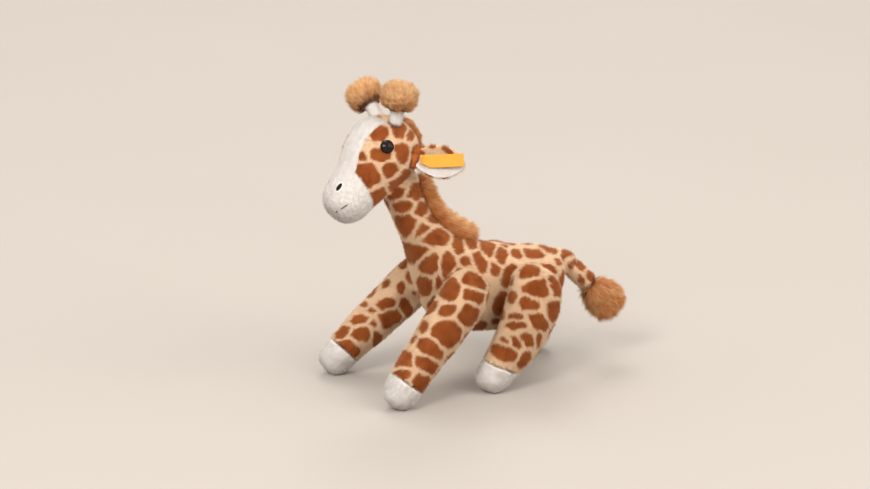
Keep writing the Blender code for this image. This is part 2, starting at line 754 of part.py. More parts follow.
def make_horns():
    for side_name, side in (("left", -1), ("right", 1)):
        out_lean, forward_lean = HORN_LEANS[side_name]
        lean = Matrix.Rotation(-side * out_lean, 3, "X") @ Matrix.Rotation(-forward_lean, 3, "Y")
        stand = pivot(f"horn_pivot_{side_name}", head_pivot, horn_feet[side_name], lean)
        foot = [(HORN_RADIUS * math.cos(turn), -HORN_RADIUS * math.sin(turn)) for turn in QUARTER[:-1]]
        foot.append((0, -HORN_RADIUS))
        round_off = HORN_RADIUS * HORN_ROUNDING_SHARE
        shoulder = [(HORN_RADIUS - round_off, HORN_LENGTH), (HORN_RADIUS, HORN_LENGTH - round_off)]
        profile = [(0, HORN_LENGTH), *shoulder, *foot]
        turned(f"horn_{side_name}", profile, stand, white_plush, steps=SMALL_SIDES)
        base = HORN_LENGTH - TUFT_SEAT
        tuft = sack(
            f"horn_tuft_{side_name}",
            [
                ring(
                    Vector((0, 0, base + TUFT_HEIGHT * place)),
                    Vector((TUFT_WIDTH * width / 2, 0, 0)),
                    Vector((0, TUFT_WIDTH * width / 2, 0)),
                )
                for place, width in TUFT_SHARES
            ],
            stand, fur,
        )
        space = clear_of(HORN_RADIUS, SMALL_SIDES)
        low, high = (0, 0, base - TUFT_SEAT), (0, 0, HORN_LENGTH + GAP)
        boolean(tuft, rod(f"tuft_pocket_{side_name}", space, low, high, stand, sides=SMALL_SIDES))


def ear_grid(name, facing, lift):
    """One open layer of an ear, cupped about its length towards its lining."""
    bm = bmesh.new()
    rows = []
    for place, width in EAR_SHARES:
        row = []
        for across in EAR_ACROSS_SHARES:
            cup = EAR_CUP * across * across * math.sin(math.pi * min(place + EAR_CUP_SHARE, 1))
            height = EAR_HALF_WIDTH * width * across
            row.append(bm.verts.new((EAR_LENGTH * place, facing * (cup + lift), height)))
        rows.append(row)
    for low, high in zip(rows, rows[1:]):
        for index in range(len(low) - 1):
            corners = (low[index], low[index + 1], high[index + 1], high[index])
            bm.faces.new(corners if facing > 0 else corners[::-1])
    return finish_mesh(name, bm)


def cloth(obj, offset):
    """Gives an open layer its thickness, on its lining's side or on its back."""
    solid = obj.modifiers.new("Cloth", "SOLIDIFY")
    solid.thickness = EAR_LAYER
    solid.offset = offset
    return obj


def make_ears():
    for side_name, facing in (("left", -1), ("right", 1)):
        stand = pivot(f"ear_pivot_{side_name}", head_pivot, ear_places[side_name], ear_frames[side_name])
        name = f"ear_back_{side_name}"
        back = cloth(add(name, ear_grid(name, facing, -GAP), stand, plush), -1)
        half = Vector((0, 0, EAR_ROOT_LENGTH / 2))
        fold = rod(f"ear_root_{side_name}", EAR_ROOT_RADIUS, -half, half, stand, sides=SMALL_SIDES)
        boolean(back, fold, "UNION")
        name = f"ear_lining_{side_name}"
        lining = cloth(add(name, ear_grid(name, facing, 0), stand, white_plush), 1)
        space = clear_of(EAR_ROOT_RADIUS, SMALL_SIDES)
        boolean(lining, rod(f"ear_root_space_{side_name}", space, -half, half, stand, sides=SMALL_SIDES))
        if side_name == "left":
            make_label(stand, facing)


def make_label(stand, facing):
    """A bare cloth label, tacked on the lining at its inner end."""
    lift = EAR_LAYER + EAR_CUP * LABEL_LIFT_SHARE
    tack_x = LABEL_START + TACK_LENGTH / 2
    foot = (tack_x, facing * (EAR_LAYER + EAR_CUP * TACK_BASE_SHARE), LABEL_RAISE)
    top = (tack_x, facing * (lift - GAP), LABEL_RAISE)
    rod("ear_label_tack", TACK_LENGTH / 2, foot, top, stand, tape, sides=SMALL_SIDES)
    hinge = pivot("ear_label_pivot", stand, (LABEL_START, facing * lift, LABEL_RAISE))
    bm = bmesh.new()
    bmesh.ops.create_cube(bm, size=1)
    bmesh.ops.scale(bm, vec=(LABEL_LENGTH, LABEL_THICKNESS, LABEL_HEIGHT), verts=bm.verts)
    bmesh.ops.translate(bm, vec=(LABEL_LENGTH / 2, facing * LABEL_THICKNESS / 2, 0), verts=bm.verts)
    bmesh.ops.rotate(bm, matrix=Matrix.Rotation(-LABEL_TILT, 3, "Y"), verts=bm.verts)
    label = add("ear_label", finish_mesh("ear_label", bm), hinge, tape)
    soft = label.modifiers.new("Edges", "BEVEL")
    soft.width = LABEL_THICKNESS * LABEL_EDGE_SHARE
    soft.segments = 1


def evaluated_points(obj):
    """The vertices that an object's modifiers give it, in its own space."""
    bpy.context.view_layer.update()
    shaped = obj.evaluated_get(bpy.context.evaluated_depsgraph_get())
    return [vertex.co.copy() for vertex in shaped.data.vertices]


def swing_to_floor(points, hip_height, way):
    """The turn about the hip that brings a leg's lowest point just under the floor."""
    near, far = 0, LEG_SWING_LIMIT
    for _ in range(24):
        turn = (near + far) / 2
        rise = [point.z * math.cos(turn) - point.x * math.sin(turn * way) for point in points]
        if hip_height + min(rise) < -SOLE_CUT:
            near = turn
        else:
            far = turn
    return near * way


def make_leg(end, side_name, side, length, radius, boss_radius, hoof_length, shares):
    hip, _ = hips[end, side_name]
    name = f"{end}_{side_name}"
    rings = [
        ring(
            Vector((-forward * radius, side * outward * radius, -place * length)),
            Vector((depth * radius, 0, 0)),
            Vector((0, width * radius, 0)),
        )
        for place, forward, outward, depth, width in shares
    ]

    form = sack(f"{name}_form", rings, None)
    swing = swing_to_floor(evaluated_points(form), hip.z, HIP_SETTLINGS[end, side_name][2])
    stand = pivot(f"{name}_hip", root, hip, Matrix.Rotation(swing, 3, "Y"))
    form.parent = stand

    def side_box(label, edge):
        low, high = sorted((-side * REACH, side * edge))
        return box(f"{name}_{label}", (-REACH * 2, low, -REACH), (REACH * 2, high, REACH * 2), root)

    ankle = hoof_length - length
    shin = box(f"{name}_shin", (-REACH, -REACH, ankle - GAP / 2), (REACH, REACH, REACH), stand)
    below = box(f"{name}_below", (-REACH, -REACH, -REACH * 2), (REACH, REACH, ankle + GAP / 2), stand)
    hollow = core(f"{name}_hoof_cavity", rings, stand, WALL, sides=10)
    cavity = core(f"{name}_cavity", rings, stand, WALL, sides=10)
    boolean(cavity, side_box("cavity_side", LEG_INNER_FACE + WALL))

    skin = sack(f"leg_skin_{name}", rings, stand, plush)
    boolean(skin, side_box("side", LEG_INNER_FACE))
    inner = Vector((0, side * BOSS_INNER_FACE - hip.y, 0))
    outer = Vector((0, side * (LEG_INNER_FACE + WALL / 2) - hip.y, 0))
    boolean(skin, rod(f"{name}_boss", boss_radius, inner, outer, stand), "UNION")
    boolean(boolean(skin, cavity), below)

    filling = core(f"leg_stuffing_{name}", rings, stand, WALL + FILLING_GAP, fibre, sides=10)
    boolean(boolean(filling, side_box("filling_side", LEG_INNER_FACE + WALL + GAP)), below)

    hoof = sack(f"hoof_skin_{name}", rings, stand, white_plush)
    boolean(boolean(boolean(hoof, hollow), shin), floor_cutter)
    boolean(core(f"hoof_pellets_{name}", rings, stand, WALL + FILLING_GAP, fibre, sides=10), shin)


def make_tail():
    stand = pivot("tail_pivot", root, tail_root, Matrix.Rotation(TAIL_DROOP, 3, "Y"))

    def sections(shares, start, length, radius, flatness):
        return [
            ring(
                Vector((start + place * length, 0, 0)),
                Vector((0, 0, width * radius)),
                Vector((0, width * radius * flatness, 0)),
            )
            for place, width in shares
        ]

    def with_root(form, inset=0.0):
        knob = ball(form.name + "_ball", TAIL_ROOT_RADIUS - inset, stand, sides=SMALL_SIDES)
        return boolean(boolean(form, knob, "UNION"), end)

    end = box("tail_end", (TAIL_LENGTH, -REACH, -REACH), (REACH, REACH, REACH), stand)
    rings = sections(TAIL_SHARES, 0, TAIL_LENGTH * TAIL_OVERRUN_SHARE, TAIL_RADIUS, 1)
    cavity = with_root(core("tail_cavity", rings, stand, WALL), WALL)
    boolean(with_root(sack("tail_skin", rings, stand, plush)), cavity)
    inset = WALL + FILLING_GAP
    with_root(core("tail_stuffing", rings, stand, inset, fibre), inset)
    start = TAIL_LENGTH + GAP
    rings = sections(TASSEL_SHARES, start, TASSEL_LENGTH, TASSEL_RADIUS, TASSEL_FLATNESS_SHARE)
    sack("tail_tassel", rings, stand, fur)


def make_manes():
    rings = []
    for section, height in zip(body_rings, MANE_SHARES):
        centre, across, _, _ = section
        rings.append(
            ring(
                centre + across,
                across.normalized() * MANE_HEIGHT * height,
                Vector((0, MANE_HALF_WIDTH * min(1, height + MANE_FULLNESS_SHARE), 0)),
            )
        )
    boolean(sack("neck_mane", rings, root, fur, sides=6), body_clearance)
    rings = []
    for step, height in enumerate(HEAD_MANE_SHARES):
        angle = HEAD_MANE_TOP + (HEAD_MANE_END - HEAD_MANE_TOP) * step / (len(HEAD_MANE_SHARES) - 1)
        out = Vector((math.cos(angle), 0, math.sin(angle)))
        rings.append(
            ring(
                cranium + out * CRANIUM_RADIUS,
                out * MANE_HEIGHT * height,
                Vector((0, MANE_HALF_WIDTH * min(1, height + MANE_FULLNESS_SHARE), 0)),
            )
        )
    boolean(sack("head_mane", rings, head_pivot, fur, sides=6), head_clearance)


floor_cutter = box("floor_cutter", (-REACH * 2, -REACH, -REACH), (REACH * 2, REACH, 0), root)
make_horns()
make_ears()
for side_name, side in (("left", -1), ("right", 1)):
    make_leg(
        "front", side_name, side, FRONT_LEG_LENGTH, FRONT_LEG_RADIUS,
        FRONT_BOSS_RADIUS, FRONT_HOOF_LENGTH, FRONT_LEG_SHARES,
    )
    make_leg(
        "hind", side_name, side, HIND_LEG_LENGTH, HIND_LEG_RADIUS,
        HIND_BOSS_RADIUS, HIND_HOOF_LENGTH, HIND_LEG_SHARES,
    )
make_tail()
make_manes()


def stand_on_origin():
    """Moves the toy so that the middle of its box's underside is the origin."""
    bpy.context.view_layer.update()
    depsgraph = bpy.context.evaluated_depsgraph_get()
    corners = []
    for obj in toy.objects:
        if obj.type == "MESH":
            shaped = obj.evaluated_get(depsgraph)
            corners += [shaped.matrix_world @ vertex.co for vertex in shaped.data.vertices]
    for axis in range(2):
        values = [corner[axis] for corner in corners]
        root.location[axis] -= (min(values) + max(values)) / 2


stand_on_origin()
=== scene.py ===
"""Plush giraffe: the plush, the long fur, the spots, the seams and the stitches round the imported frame.

Metres, in the frame of the CAD: the toy looks along -X, its left side is -Y, and +Z is up.
Every stuffed form is the CAD's own form, remeshed fine and drawn in by the depth of its pile.
The pile is real geometry: closed tapering hairs that are rooted on the form.
"""

import json
import math

import bmesh
import bpy
import numpy as np
from mathutils import Matrix, Vector
from mathutils.bvhtree import BVHTree


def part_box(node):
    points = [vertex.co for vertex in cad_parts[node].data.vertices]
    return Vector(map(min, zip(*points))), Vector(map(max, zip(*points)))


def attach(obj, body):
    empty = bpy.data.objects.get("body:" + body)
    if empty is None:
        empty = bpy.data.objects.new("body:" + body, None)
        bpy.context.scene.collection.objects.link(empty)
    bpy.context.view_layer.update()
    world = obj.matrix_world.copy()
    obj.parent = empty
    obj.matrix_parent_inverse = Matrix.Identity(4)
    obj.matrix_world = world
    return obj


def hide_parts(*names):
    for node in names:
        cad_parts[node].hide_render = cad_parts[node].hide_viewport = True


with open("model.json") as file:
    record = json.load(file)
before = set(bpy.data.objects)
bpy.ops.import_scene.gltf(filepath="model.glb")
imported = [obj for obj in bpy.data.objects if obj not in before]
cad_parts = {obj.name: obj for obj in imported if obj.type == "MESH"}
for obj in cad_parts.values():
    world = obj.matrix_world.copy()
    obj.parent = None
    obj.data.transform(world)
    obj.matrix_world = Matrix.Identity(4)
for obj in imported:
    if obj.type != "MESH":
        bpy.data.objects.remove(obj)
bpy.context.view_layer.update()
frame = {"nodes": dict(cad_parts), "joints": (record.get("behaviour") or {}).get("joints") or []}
NODES = frame["nodes"]
PIVOTS = {joint["name"]: np.array(joint["pos_m"]) for joint in frame["joints"]}
MM = 0.001

# Camera: the photograph's angle, with its frame 870 pixels wide and 489 high
IMAGE_WIDTH = 870
IMAGE_HEIGHT = 489
CAMERA_AZIMUTH = -24
CAMERA_ELEVATION = 16
CAMERA_DISTANCE = 2.5
CAMERA_LENS_MM = 130.5
SENSOR_WIDTH_MM = 36
NECK = PIVOTS["head_turn"]
CAMERA_AIM = Vector((NECK[0] + 0.0303, 0.0, 0.114))

# Stage, in metres, and its curve
STAGE_WIDTH = 18.0
STAGE_FRONT = -9.0
STAGE_BACK = 3.6
STAGE_HEIGHT = 2.4
STAGE_RADIUS = 1.2
STAGE_STEPS = 12
FLOOR_COLOURS = ((0.47, 0.435, 0.395), (0.45, 0.415, 0.375))

# Lamps, each its name, its place and size in metres, its power in watts and its colour
LAMPS = (
    ("key", (-2.2, -1.8, 2.4), 1.2, 68, (1.0, 0.965, 0.93)),
    ("fill", (1.6, -2.3, 1.9), 2.4, 52, (1.0, 0.94, 0.89)),
    ("rim", (0.8, 2.4, 3.0), 1.6, 52, (1.0, 0.97, 0.94)),
)
LAMP_AIM = Vector((0, 0, 0.1))
ROOM_COLOUR = (1.0, 0.96, 0.92)

# CAD nodes that are used together
TORSO = ("body_skin_left", "body_skin_right")
HEAD_SKINS = ("head_skin_left", "head_skin_right")
HEAD_NODES = (*HEAD_SKINS, "muzzle_skin", "head_stuffing")

# Pile: how far a form is drawn in, and how the hairs stand on it
PILE_DEPTH = 1.3 * MM
PLUSH_DENSITY = 2.5e6
PLUSH_LENGTH = 2.9 * MM
PLUSH_WIDTH = 0.42 * MM
WHITE_LENGTH = 2.2 * MM
CHEEK_LENGTH = PLUSH_LENGTH * 0.9
EAR_LENGTH = PLUSH_LENGTH * 0.85
HORN_LENGTH = 1.6 * MM
SHORTEST = 0.05 * MM
HORN_FAN = 13 * MM
TASSEL_FAN = 22 * MM
PLUSH_LEAN = 0.75
PLUSH_STRAY = 0.28
WHITE_STRAY = 0.1
HAIR_TAPER = 0.35
HAIR_SCATTER = 0.22
SKIN_THICKNESS = 0.9 * MM
# How far along a hair the skin under the pile is painted, and its random share: the skin takes the roots'
# painted shade
ROOT_PAINT = (0.15, 0.4)
FUR_DEPTH = 4.4 * MM
FUR_WIDTH = 0.45 * MM
LOCK_SIZE = 3.5 * MM
CLUMP_SIZE = 5 * MM
CLEAR_OF_NEIGHBOUR = 0.5 * MM
FULL_DEPTH_BEYOND = 3.5 * MM

# Spots
SPOT_SCALE = 1.11
SPOT_GAP = 2.9 * MM
SPOT_FUZZ = 1.3 * MM
SPOT_STRAY = 0.4 * MM
SPOT_WOBBLE = 0.55 * MM
SPOT_WOBBLE_SIZE = 8 * MM
SPOT_SIZES = (8.2 * MM, 7.0 * MM, 5.6 * MM, 4.2 * MM)
SPOT_NET = 2.2 * MM
SPOT_TRIES = 0.7e6
SPOT_STRETCH = 1.25
GRAZING = 0.4

# Colours, as linear values of what the photograph shows
BROWN = (0.50, 0.140, 0.028)
BROWN_DARK = (0.36, 0.082, 0.014)
CREAM = (1.0, 0.70, 0.45)
WHITE = (0.91, 0.865, 0.825)
# The white plush as it looks in shade, warmed by bounced light: a painted shade that the white mixes towards
WHITE_PAINTED_SHADE = (0.87, 0.75, 0.66)
CARAMEL = (0.58, 0.20, 0.05)
CARAMEL_LIGHT = (1.0, 0.64, 0.32)
YELLOW = (0.78, 0.365, 0.022)
YELLOW_DEEP = (0.70, 0.28, 0.012)
SHEEN_TINT = (1.0, 0.72, 0.48)
EYE_BLACK = (0.006, 0.004, 0.004)
EYE_BROWN = (0.02, 0.011, 0.008)

# Spots that the photograph shows, each an ellipse: the pixel at its middle, its half length and
# half width in pixels, and the turn of its length in degrees, where 90 is upright
HEAD_SPOTS = (
    (379, 133, 9, 7.5, 0), (398, 129, 8, 7, -20), (402, 153, 11.5, 6.5, 90), (380, 155, 11.5, 6.5, 0),
    (362, 158, 6, 5, 45), (367, 176, 15, 11, -50), (391, 171, 9, 7.5, 20), (399, 181, 13, 6.5, 45),
    (377, 197, 10, 6, 55), (414, 179, 4, 4, 0), (418, 150, 9, 6, 90), (410, 136, 5, 4, 60),
)
BODY_SPOTS = (
    (396, 194, 9, 5, 20), (417, 190, 9, 6, 80), (402, 206, 11, 6, 0), (421, 209, 7.5, 6.5, 60),
    (404, 225, 12.5, 9, -35), (420, 230, 9.5, 7, 40), (431, 219, 5.5, 3.5, -40), (436, 237, 14, 8, 10),
    (408, 251, 14, 9, -35), (428, 264, 11.5, 10.5, 90), (448, 264, 12, 7.5, 80), (457, 244, 9.5, 5.5, -70),
    (470, 243, 7.5, 4.5, -25), (465, 262, 7, 5, -20), (480, 262, 11, 6.5, -60), (494, 269, 7.5, 5, -70),
    (486, 246, 10, 6, -40), (500, 255, 8, 6.5, 90), (507, 244, 8.5, 3.5, -15), (424, 285, 10, 7.5, 90),
    (438, 281, 7, 3.5, 90), (420, 304, 6, 5, 0), (434, 303, 8, 6, 45), (461, 271, 9, 5, 15),
    (500, 303, 12, 7, 70), (516, 254, 6.5, 5, -20), (532, 254, 10, 5, -10), (534, 245, 9.5, 3, -10),
    (550, 249, 7, 5.5, -30), (509, 275, 12, 8, 55), (530, 272, 10, 8, 30), (547, 269, 9, 5, -20),
    (401, 288, 7, 3.5, 80), (475, 336, 10, 8, 40), (566, 253, 6, 4.5, -40), (571, 263, 5.5, 4.5, -60),
)
NEAR_FRONT_SPOTS = (
    (449, 288, 11, 9, 55), (476, 280, 12, 7, -40), (475, 295, 11, 8, -25), (492, 285, 12, 5, -65),
    (470, 315, 11, 9.5, 50), (448, 310, 9.5, 5.5, 15), (448, 334, 14.5, 13, 0), (475, 336, 10, 8, 40),
    (431, 349, 15, 9, -35), (428, 364, 12.5, 8.5, -30), (403, 358, 9, 6, 55), (400, 374, 10, 6, 15),
    (422, 383, 10.5, 7, 70), (489, 315, 6, 4, 80),
)
FAR_FRONT_SPOTS = (
    (406, 307, 11, 6, -60), (386, 304, 9.5, 5.5, 10), (372, 311, 6, 3, 10), (389, 318, 12.5, 8, 25),
    (376, 323, 6, 5, 0), (360, 320, 10, 5.5, 25), (360, 335, 11, 9.5, 45), (344, 332, 8.5, 5, 35),
    (346, 350, 10.5, 8, -50), (403, 328, 9.5, 6.5, 60), (389, 336, 6, 4.5, 45), (378, 341, 8, 4.5, 90),
    (366, 353, 7, 4, 20), (401, 288, 7, 3.5, 80),
)
NEAR_HIND_SPOTS = (
    (530, 272, 10, 8, 30), (547, 269, 9, 5, -20), (537, 287, 13.5, 9.5, -15), (555, 286, 11, 5.5, -65),
    (530, 304, 9.5, 7.5, -15), (554, 310, 10.5, 6, 80), (539, 321, 12, 7, -40), (516, 316, 7.5, 4, 0),
    (516, 325, 10, 4.5, 0), (529, 340, 8.5, 5.5, -50), (538, 340, 7, 3, 75), (516, 342, 8, 4.5, -50),
    (506, 341, 5.5, 4, 0), (504, 352, 14, 8, -20), (524, 359, 9.5, 5, 60),
)
TAIL_SPOTS = (
    (567, 255, 6, 5, -50), (579, 263, 7.5, 4.5, -45), (571, 268, 6, 4.5, -60), (590, 276, 6.5, 5, -45),
    (582, 279, 6, 4, -50),
)
EAR_SPOTS = ((418, 153, 10, 6.5, 65), (433, 146, 5, 2.6, 0), (446, 150, 7, 2.6, -35), (430, 156, 3, 2, 0))

# Stitches and folds that the photograph shows on the face, in pixels
NOSTRIL = (339.2, 187.0, 4.6, 1.9, 52)
MOUTH = (((341.3, 208.6), (343.6, 207.0), (345.8, 205.4), (348.2, 204.3)), ((336.2, 211.6), (338.0, 210.9)))
EYE_FOLD = ((365.5, 140.4), (369.0, 141.0), (372.5, 142.4), (376.5, 144.0))

# Head
HEAD_CENTRE = NECK + np.array((-0.0115, 0.0, 0.027))
HEAD_LEFT = np.array((0.174, -0.985, 0.0))

# How far the pile's roots stay off what is next to them
OFF_NEIGHBOUR = 1.0 * MM
OFF_LEGS = 1.2 * MM
OFF_EYES = 0.7 * MM
OFF_FOLDS = 0.6 * MM
OFF_STITCHES = 0.8 * MM
OFF_LINING = 0.6 * MM
OFF_PARTNER = 0.9 * MM

# The uneven cloth of each kind of form: how high and how wide its swells are
SWELLS = {
    "body": (0.35 * MM, 22 * MM), "leg": (0.4 * MM, 20 * MM), "hoof": (0.3 * MM, 11 * MM),
    "head": (0.15 * MM, 26 * MM),
}

# Seams, the gathers at the hooves, the soles, the ears and the label
SEAM_WIDTH = 1.3 * MM
SEAM_BARE = 0.3 * MM
BODY_SEAM_DEPTH = 1.2 * MM
HEAD_SEAM_DEPTH = 0.8 * MM
EYE_FOLD_DEPTH = 1.1 * MM
EYE_FOLD_WIDTH = 1.3 * MM
HORN_FOOT_BARE = 12 * MM
HORN_FOOT_FADE = 2 * MM
NOSTRIL_PROUD = 1.0 * MM
MOUTH_PROUD = 0.9 * MM
STITCH_RIDGE = 0.08 * MM
MOUTH_THREAD = 0.38 * MM
HOOF_SEAM_REACH = 1.8 * MM
HOOF_SEAM_DROP = 2.2 * MM
HOOF_SEAM_FLARE = 0.7 * MM
GATHERS = 13
GATHER_DEPTH = 0.5 * MM
GATHER_REACH = 9 * MM
TAIL_CARRY = np.array((-1.0, 0.0, 0.25))
TAIL_SLEEVE = ((0.0, 9.3 * MM), (3.5 * MM, 9.6 * MM), (7 * MM, 9.9 * MM), (10.5 * MM, 10.2 * MM))
SOLE_HEIGHT = 0.3 * MM
SOLE_REACH = 3 * MM
SOLE_PRESS = 0.9 * MM
SOLE_BARE = 0.6 * MM
EAR_TURN_SHARE = 0.68
EAR_ROOT_REACH = 4.5 * MM
EAR_ROOT_BROWN = 6.5 * MM
EAR_BEHIND = -0.6
EAR_FOLD = (
    (0.6 * MM, -5.2 * MM, 2.3 * MM), (0.0, -2.6 * MM, 3.5 * MM), (0.2 * MM, 0.2 * MM, 4.2 * MM),
    (1.4 * MM, 3.0 * MM, 4.3 * MM), (3.4 * MM, 5.4 * MM, 3.7 * MM), (6.0 * MM, 6.6 * MM, 2.8 * MM),
)
LABEL_SIZE = (0.034, 0.0102)
LABEL_GRID = (40, 12)
LABEL_STITCH = 0.2 * MM
LABEL_THICKNESS = 0.45 * MM
LABEL_CURL = 1.1 * MM
LABEL_CUT = 0.4
LABEL_CUT_REACH = 0.22
LABEL_STITCHES = 5
TAPE_RIBS = 0.8
FLOOR_GAP = 0.2 * MM


def unit(vectors):
    """The vectors, one to a row, each at length 1."""
    return vectors / np.maximum(np.linalg.norm(vectors, axis=-1, keepdims=True), 1e-12)


def ripple(points, size, seed, waves=9):
    """A smooth uneven value at each point, mostly from -1 to 1, whose swells are about that size."""
    random = np.random.default_rng(seed)
    total = np.zeros(len(points))
    for _ in range(waves):
        direction = unit(random.normal(size=3))
        rate = 2 * math.pi / size * random.uniform(0.6, 1.3)
        total += np.sin(points @ direction * rate + random.uniform(0, 2 * math.pi))
    return total / math.sqrt(waves)


def smoothstep(value):
    """0 below 0 and 1 above 1, and a soft step between."""
    t = np.clip(value, 0, 1)
    return t * t * (3 - 2 * t)


def link(name, data):
    """A new object of the scene."""
    made = bpy.data.objects.new(name, data)
    bpy.context.scene.collection.objects.link(made)
    return made


def evaluated(mesh, modifiers):
    """The mesh after these modifiers, each a type and its settings."""
    source = link("source", mesh)
    for kind, settings in modifiers:
        modifier = source.modifiers.new(kind.title(), kind)
        for key, value in settings.items():
            setattr(modifier, key, value)
    graph = bpy.context.evaluated_depsgraph_get()
    made = bpy.data.meshes.new_from_object(source.evaluated_get(graph))
    bpy.data.objects.remove(source)
    return made


def joined(nodes, balls=()):
    """One mesh of these CAD nodes, and of balls that carry their form on, each a middle and a radius."""
    whole = bmesh.new()
    for node in nodes:
        whole.from_mesh(NODES[node].data)
    for middle, radius in balls:
        place = Matrix.Translation(middle)
        bmesh.ops.create_uvsphere(whole, u_segments=24, v_segments=16, radius=radius, matrix=place)
    mesh = bpy.data.meshes.new("joined")
    whole.to_mesh(mesh)
    whole.free()
    return mesh


def rows(items, key, width=3, kind=float):
    """A property of a mesh's elements as rows of numbers."""
    flat = np.empty(len(items) * width, dtype=kind)
    items.foreach_get(key, flat)
    return flat.reshape(-1, width)


def corners(mesh):
    """The vertices of a mesh."""
    return rows(mesh.vertices, "co")


def vertex_normals(mesh):
    """The vertex normals of a mesh."""
    return rows(mesh.vertex_normals, "vector")


def face_middles(mesh):
    """The middle of each face of a mesh."""
    return rows(mesh.polygons, "center")


def triangles(mesh):
    """The triangles of a mesh, each as three vertex indices."""
    mesh.calc_loop_triangles()
    return rows(mesh.loop_triangles, "vertices", 3, np.int64)


def triangle_owner(mesh):
    """The face that each triangle of a mesh belongs to."""
    mesh.calc_loop_triangles()
    return rows(mesh.loop_triangles, "polygon_index", 1, np.int64)[:, 0]


def place_corners(mesh, points):
    """Moves the vertices of a mesh there."""
    mesh.vertices.foreach_set("co", points.astype(np.float32).ravel())
    mesh.update()


def mesh_tree(mesh):
    """A search tree over the surface of a mesh."""
    return BVHTree.FromPolygons(corners(mesh).tolist(), triangles(mesh).tolist())


def tree_of(nodes):
    """A search tree over the surfaces of these CAD nodes."""
    return mesh_tree(joined(nodes))


def distances(tree, points):
    """The distance from each point to the nearest surface in the tree."""
    return np.array([tree.find_nearest(point)[3] for point in points.tolist()])


def clear_of(nodes, clearance):
    """A rule for which places are further than this from these CAD nodes."""
    tree = tree_of(nodes)
    return lambda places: distances(tree, places) > clearance


def box_middle(node):
    """The middle of a CAD node's box."""
    low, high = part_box(node)
    return (np.array(low) + np.array(high)) / 2


def fading(distance, width):
    """1 at no distance, about a third at this width, and softly on to 0."""
    return np.exp(-((distance / width) ** 2))


def swells(kind, points, seed):
    """How far out the uneven cloth of that kind of form stands at each point."""
    height, size = SWELLS[kind]
    return height * ripple(points, size, seed)


def band(low, high, sides):
    """The faces between two rings of corners, given the index of each ring's first corner."""
    for corner in range(sides):
        following = (corner + 1) % sides
        yield low + corner, low + following, high + following, high + corner


def form(nodes, neighbours=(), voxel=1.4 * MM, depth=PILE_DEPTH, smoothing=4, balls=()):
    """The closed form of these CAD nodes as a fine mesh, drawn in by the pile's depth.

    Where a neighbour that moves on its own is close, the form keeps its place, so no gap opens.
    """
    modifiers = (
        ("REMESH", {"mode": "VOXEL", "voxel_size": voxel}),
        ("SMOOTH", {"factor": 0.5, "iterations": smoothing}),
    )
    mesh = evaluated(joined(nodes, balls), modifiers)
    points = corners(mesh)
    drawn_in = np.full(len(points), depth)
    if neighbours:
        near = distances(tree_of(neighbours), points)
        drawn_in *= smoothstep((near - CLEAR_OF_NEIGHBOUR) / (FULL_DEPTH_BEYOND - CLEAR_OF_NEIGHBOUR))
    place_corners(mesh, points - vertex_normals(mesh) * drawn_in[:, None])
    return mesh


def push(mesh, amounts):
    """Moves each vertex out along its normal by its amount."""
    place_corners(mesh, corners(mesh) + vertex_normals(mesh) * amounts[:, None])


def scatter(mesh, density, seed):
    """Roots spread evenly over a mesh: their places, their normals, and the triangle of each."""
    points = corners(mesh)
    normals = vertex_normals(mesh)
    faces = triangles(mesh)
    a, b, c = (points[faces[:, i]] for i in range(3))
    areas = np.linalg.norm(np.cross(b - a, c - a), axis=1) / 2
    random = np.random.default_rng(seed)
    counts = np.floor(areas * density + random.random(len(areas))).astype(int)
    chosen = np.repeat(np.arange(len(faces)), counts)
    u, v = random.random(len(chosen)), random.random(len(chosen))
    outside = u + v > 1
    u[outside], v[outside] = 1 - u[outside], 1 - v[outside]
    shares = np.stack((1 - u - v, u, v), axis=1)[:, :, None]
    picked = faces[chosen]
    return (points[picked] * shares).sum(axis=1), unit((normals[picked] * shares).sum(axis=1)), chosen


# Spots


def camera_ray(camera, pixel):
    """Where the camera's ray through a pixel of the photograph starts, and its direction."""
    across = (pixel[0] - IMAGE_WIDTH / 2) / IMAGE_WIDTH * SENSOR_WIDTH_MM / CAMERA_LENS_MM
    up = (IMAGE_HEIGHT / 2 - pixel[1]) / IMAGE_WIDTH * SENSOR_WIDTH_MM / CAMERA_LENS_MM
    turn = camera.matrix_world.to_3x3()
    return camera.matrix_world.translation, (turn @ Vector((across, up, -1))).normalized()


def spot_shape(centre, long_axis, short_axis, normal):
    """A spot: its middle, the turn that makes its ellipse a circle of radius 1, and its mean radius."""
    radius = math.sqrt(np.linalg.norm(long_axis) * np.linalg.norm(short_axis))
    axes = np.stack((long_axis, short_axis, unit(normal) * radius), axis=1)
    return centre, np.linalg.inv(axes), radius


def seen_spots(mesh, ellipses):
    """The spots of the photograph on a form, each laid from the camera's ray onto the cloth."""
    tree = mesh_tree(mesh)
    turn = np.array(CAMERA.matrix_world.to_3x3())
    right, up = turn[:, 0], turn[:, 1]
    found = []
    for x, y, half_length, half_width, angle in ellipses:
        start, direction = camera_ray(CAMERA, (x, y))
        hit, normal, _, distance = tree.ray_cast(start, direction)
        if hit is None:
            continue
        pixel = distance * SENSOR_WIDTH_MM / CAMERA_LENS_MM / IMAGE_WIDTH
        ray, normal = np.array(direction), np.array(normal)
        facing = min(ray @ normal, -GRAZING)
        axes = []
        for size, turned in ((half_length, angle), (half_width, angle + 90)):
            radians = math.radians(turned)
            flat = SPOT_SCALE * size * pixel * (right * math.cos(radians) + up * math.sin(radians))
            axes.append(flat - ray * (flat @ normal) / facing)
        found.append(spot_shape(np.array(hit), *axes, normal))
    return found


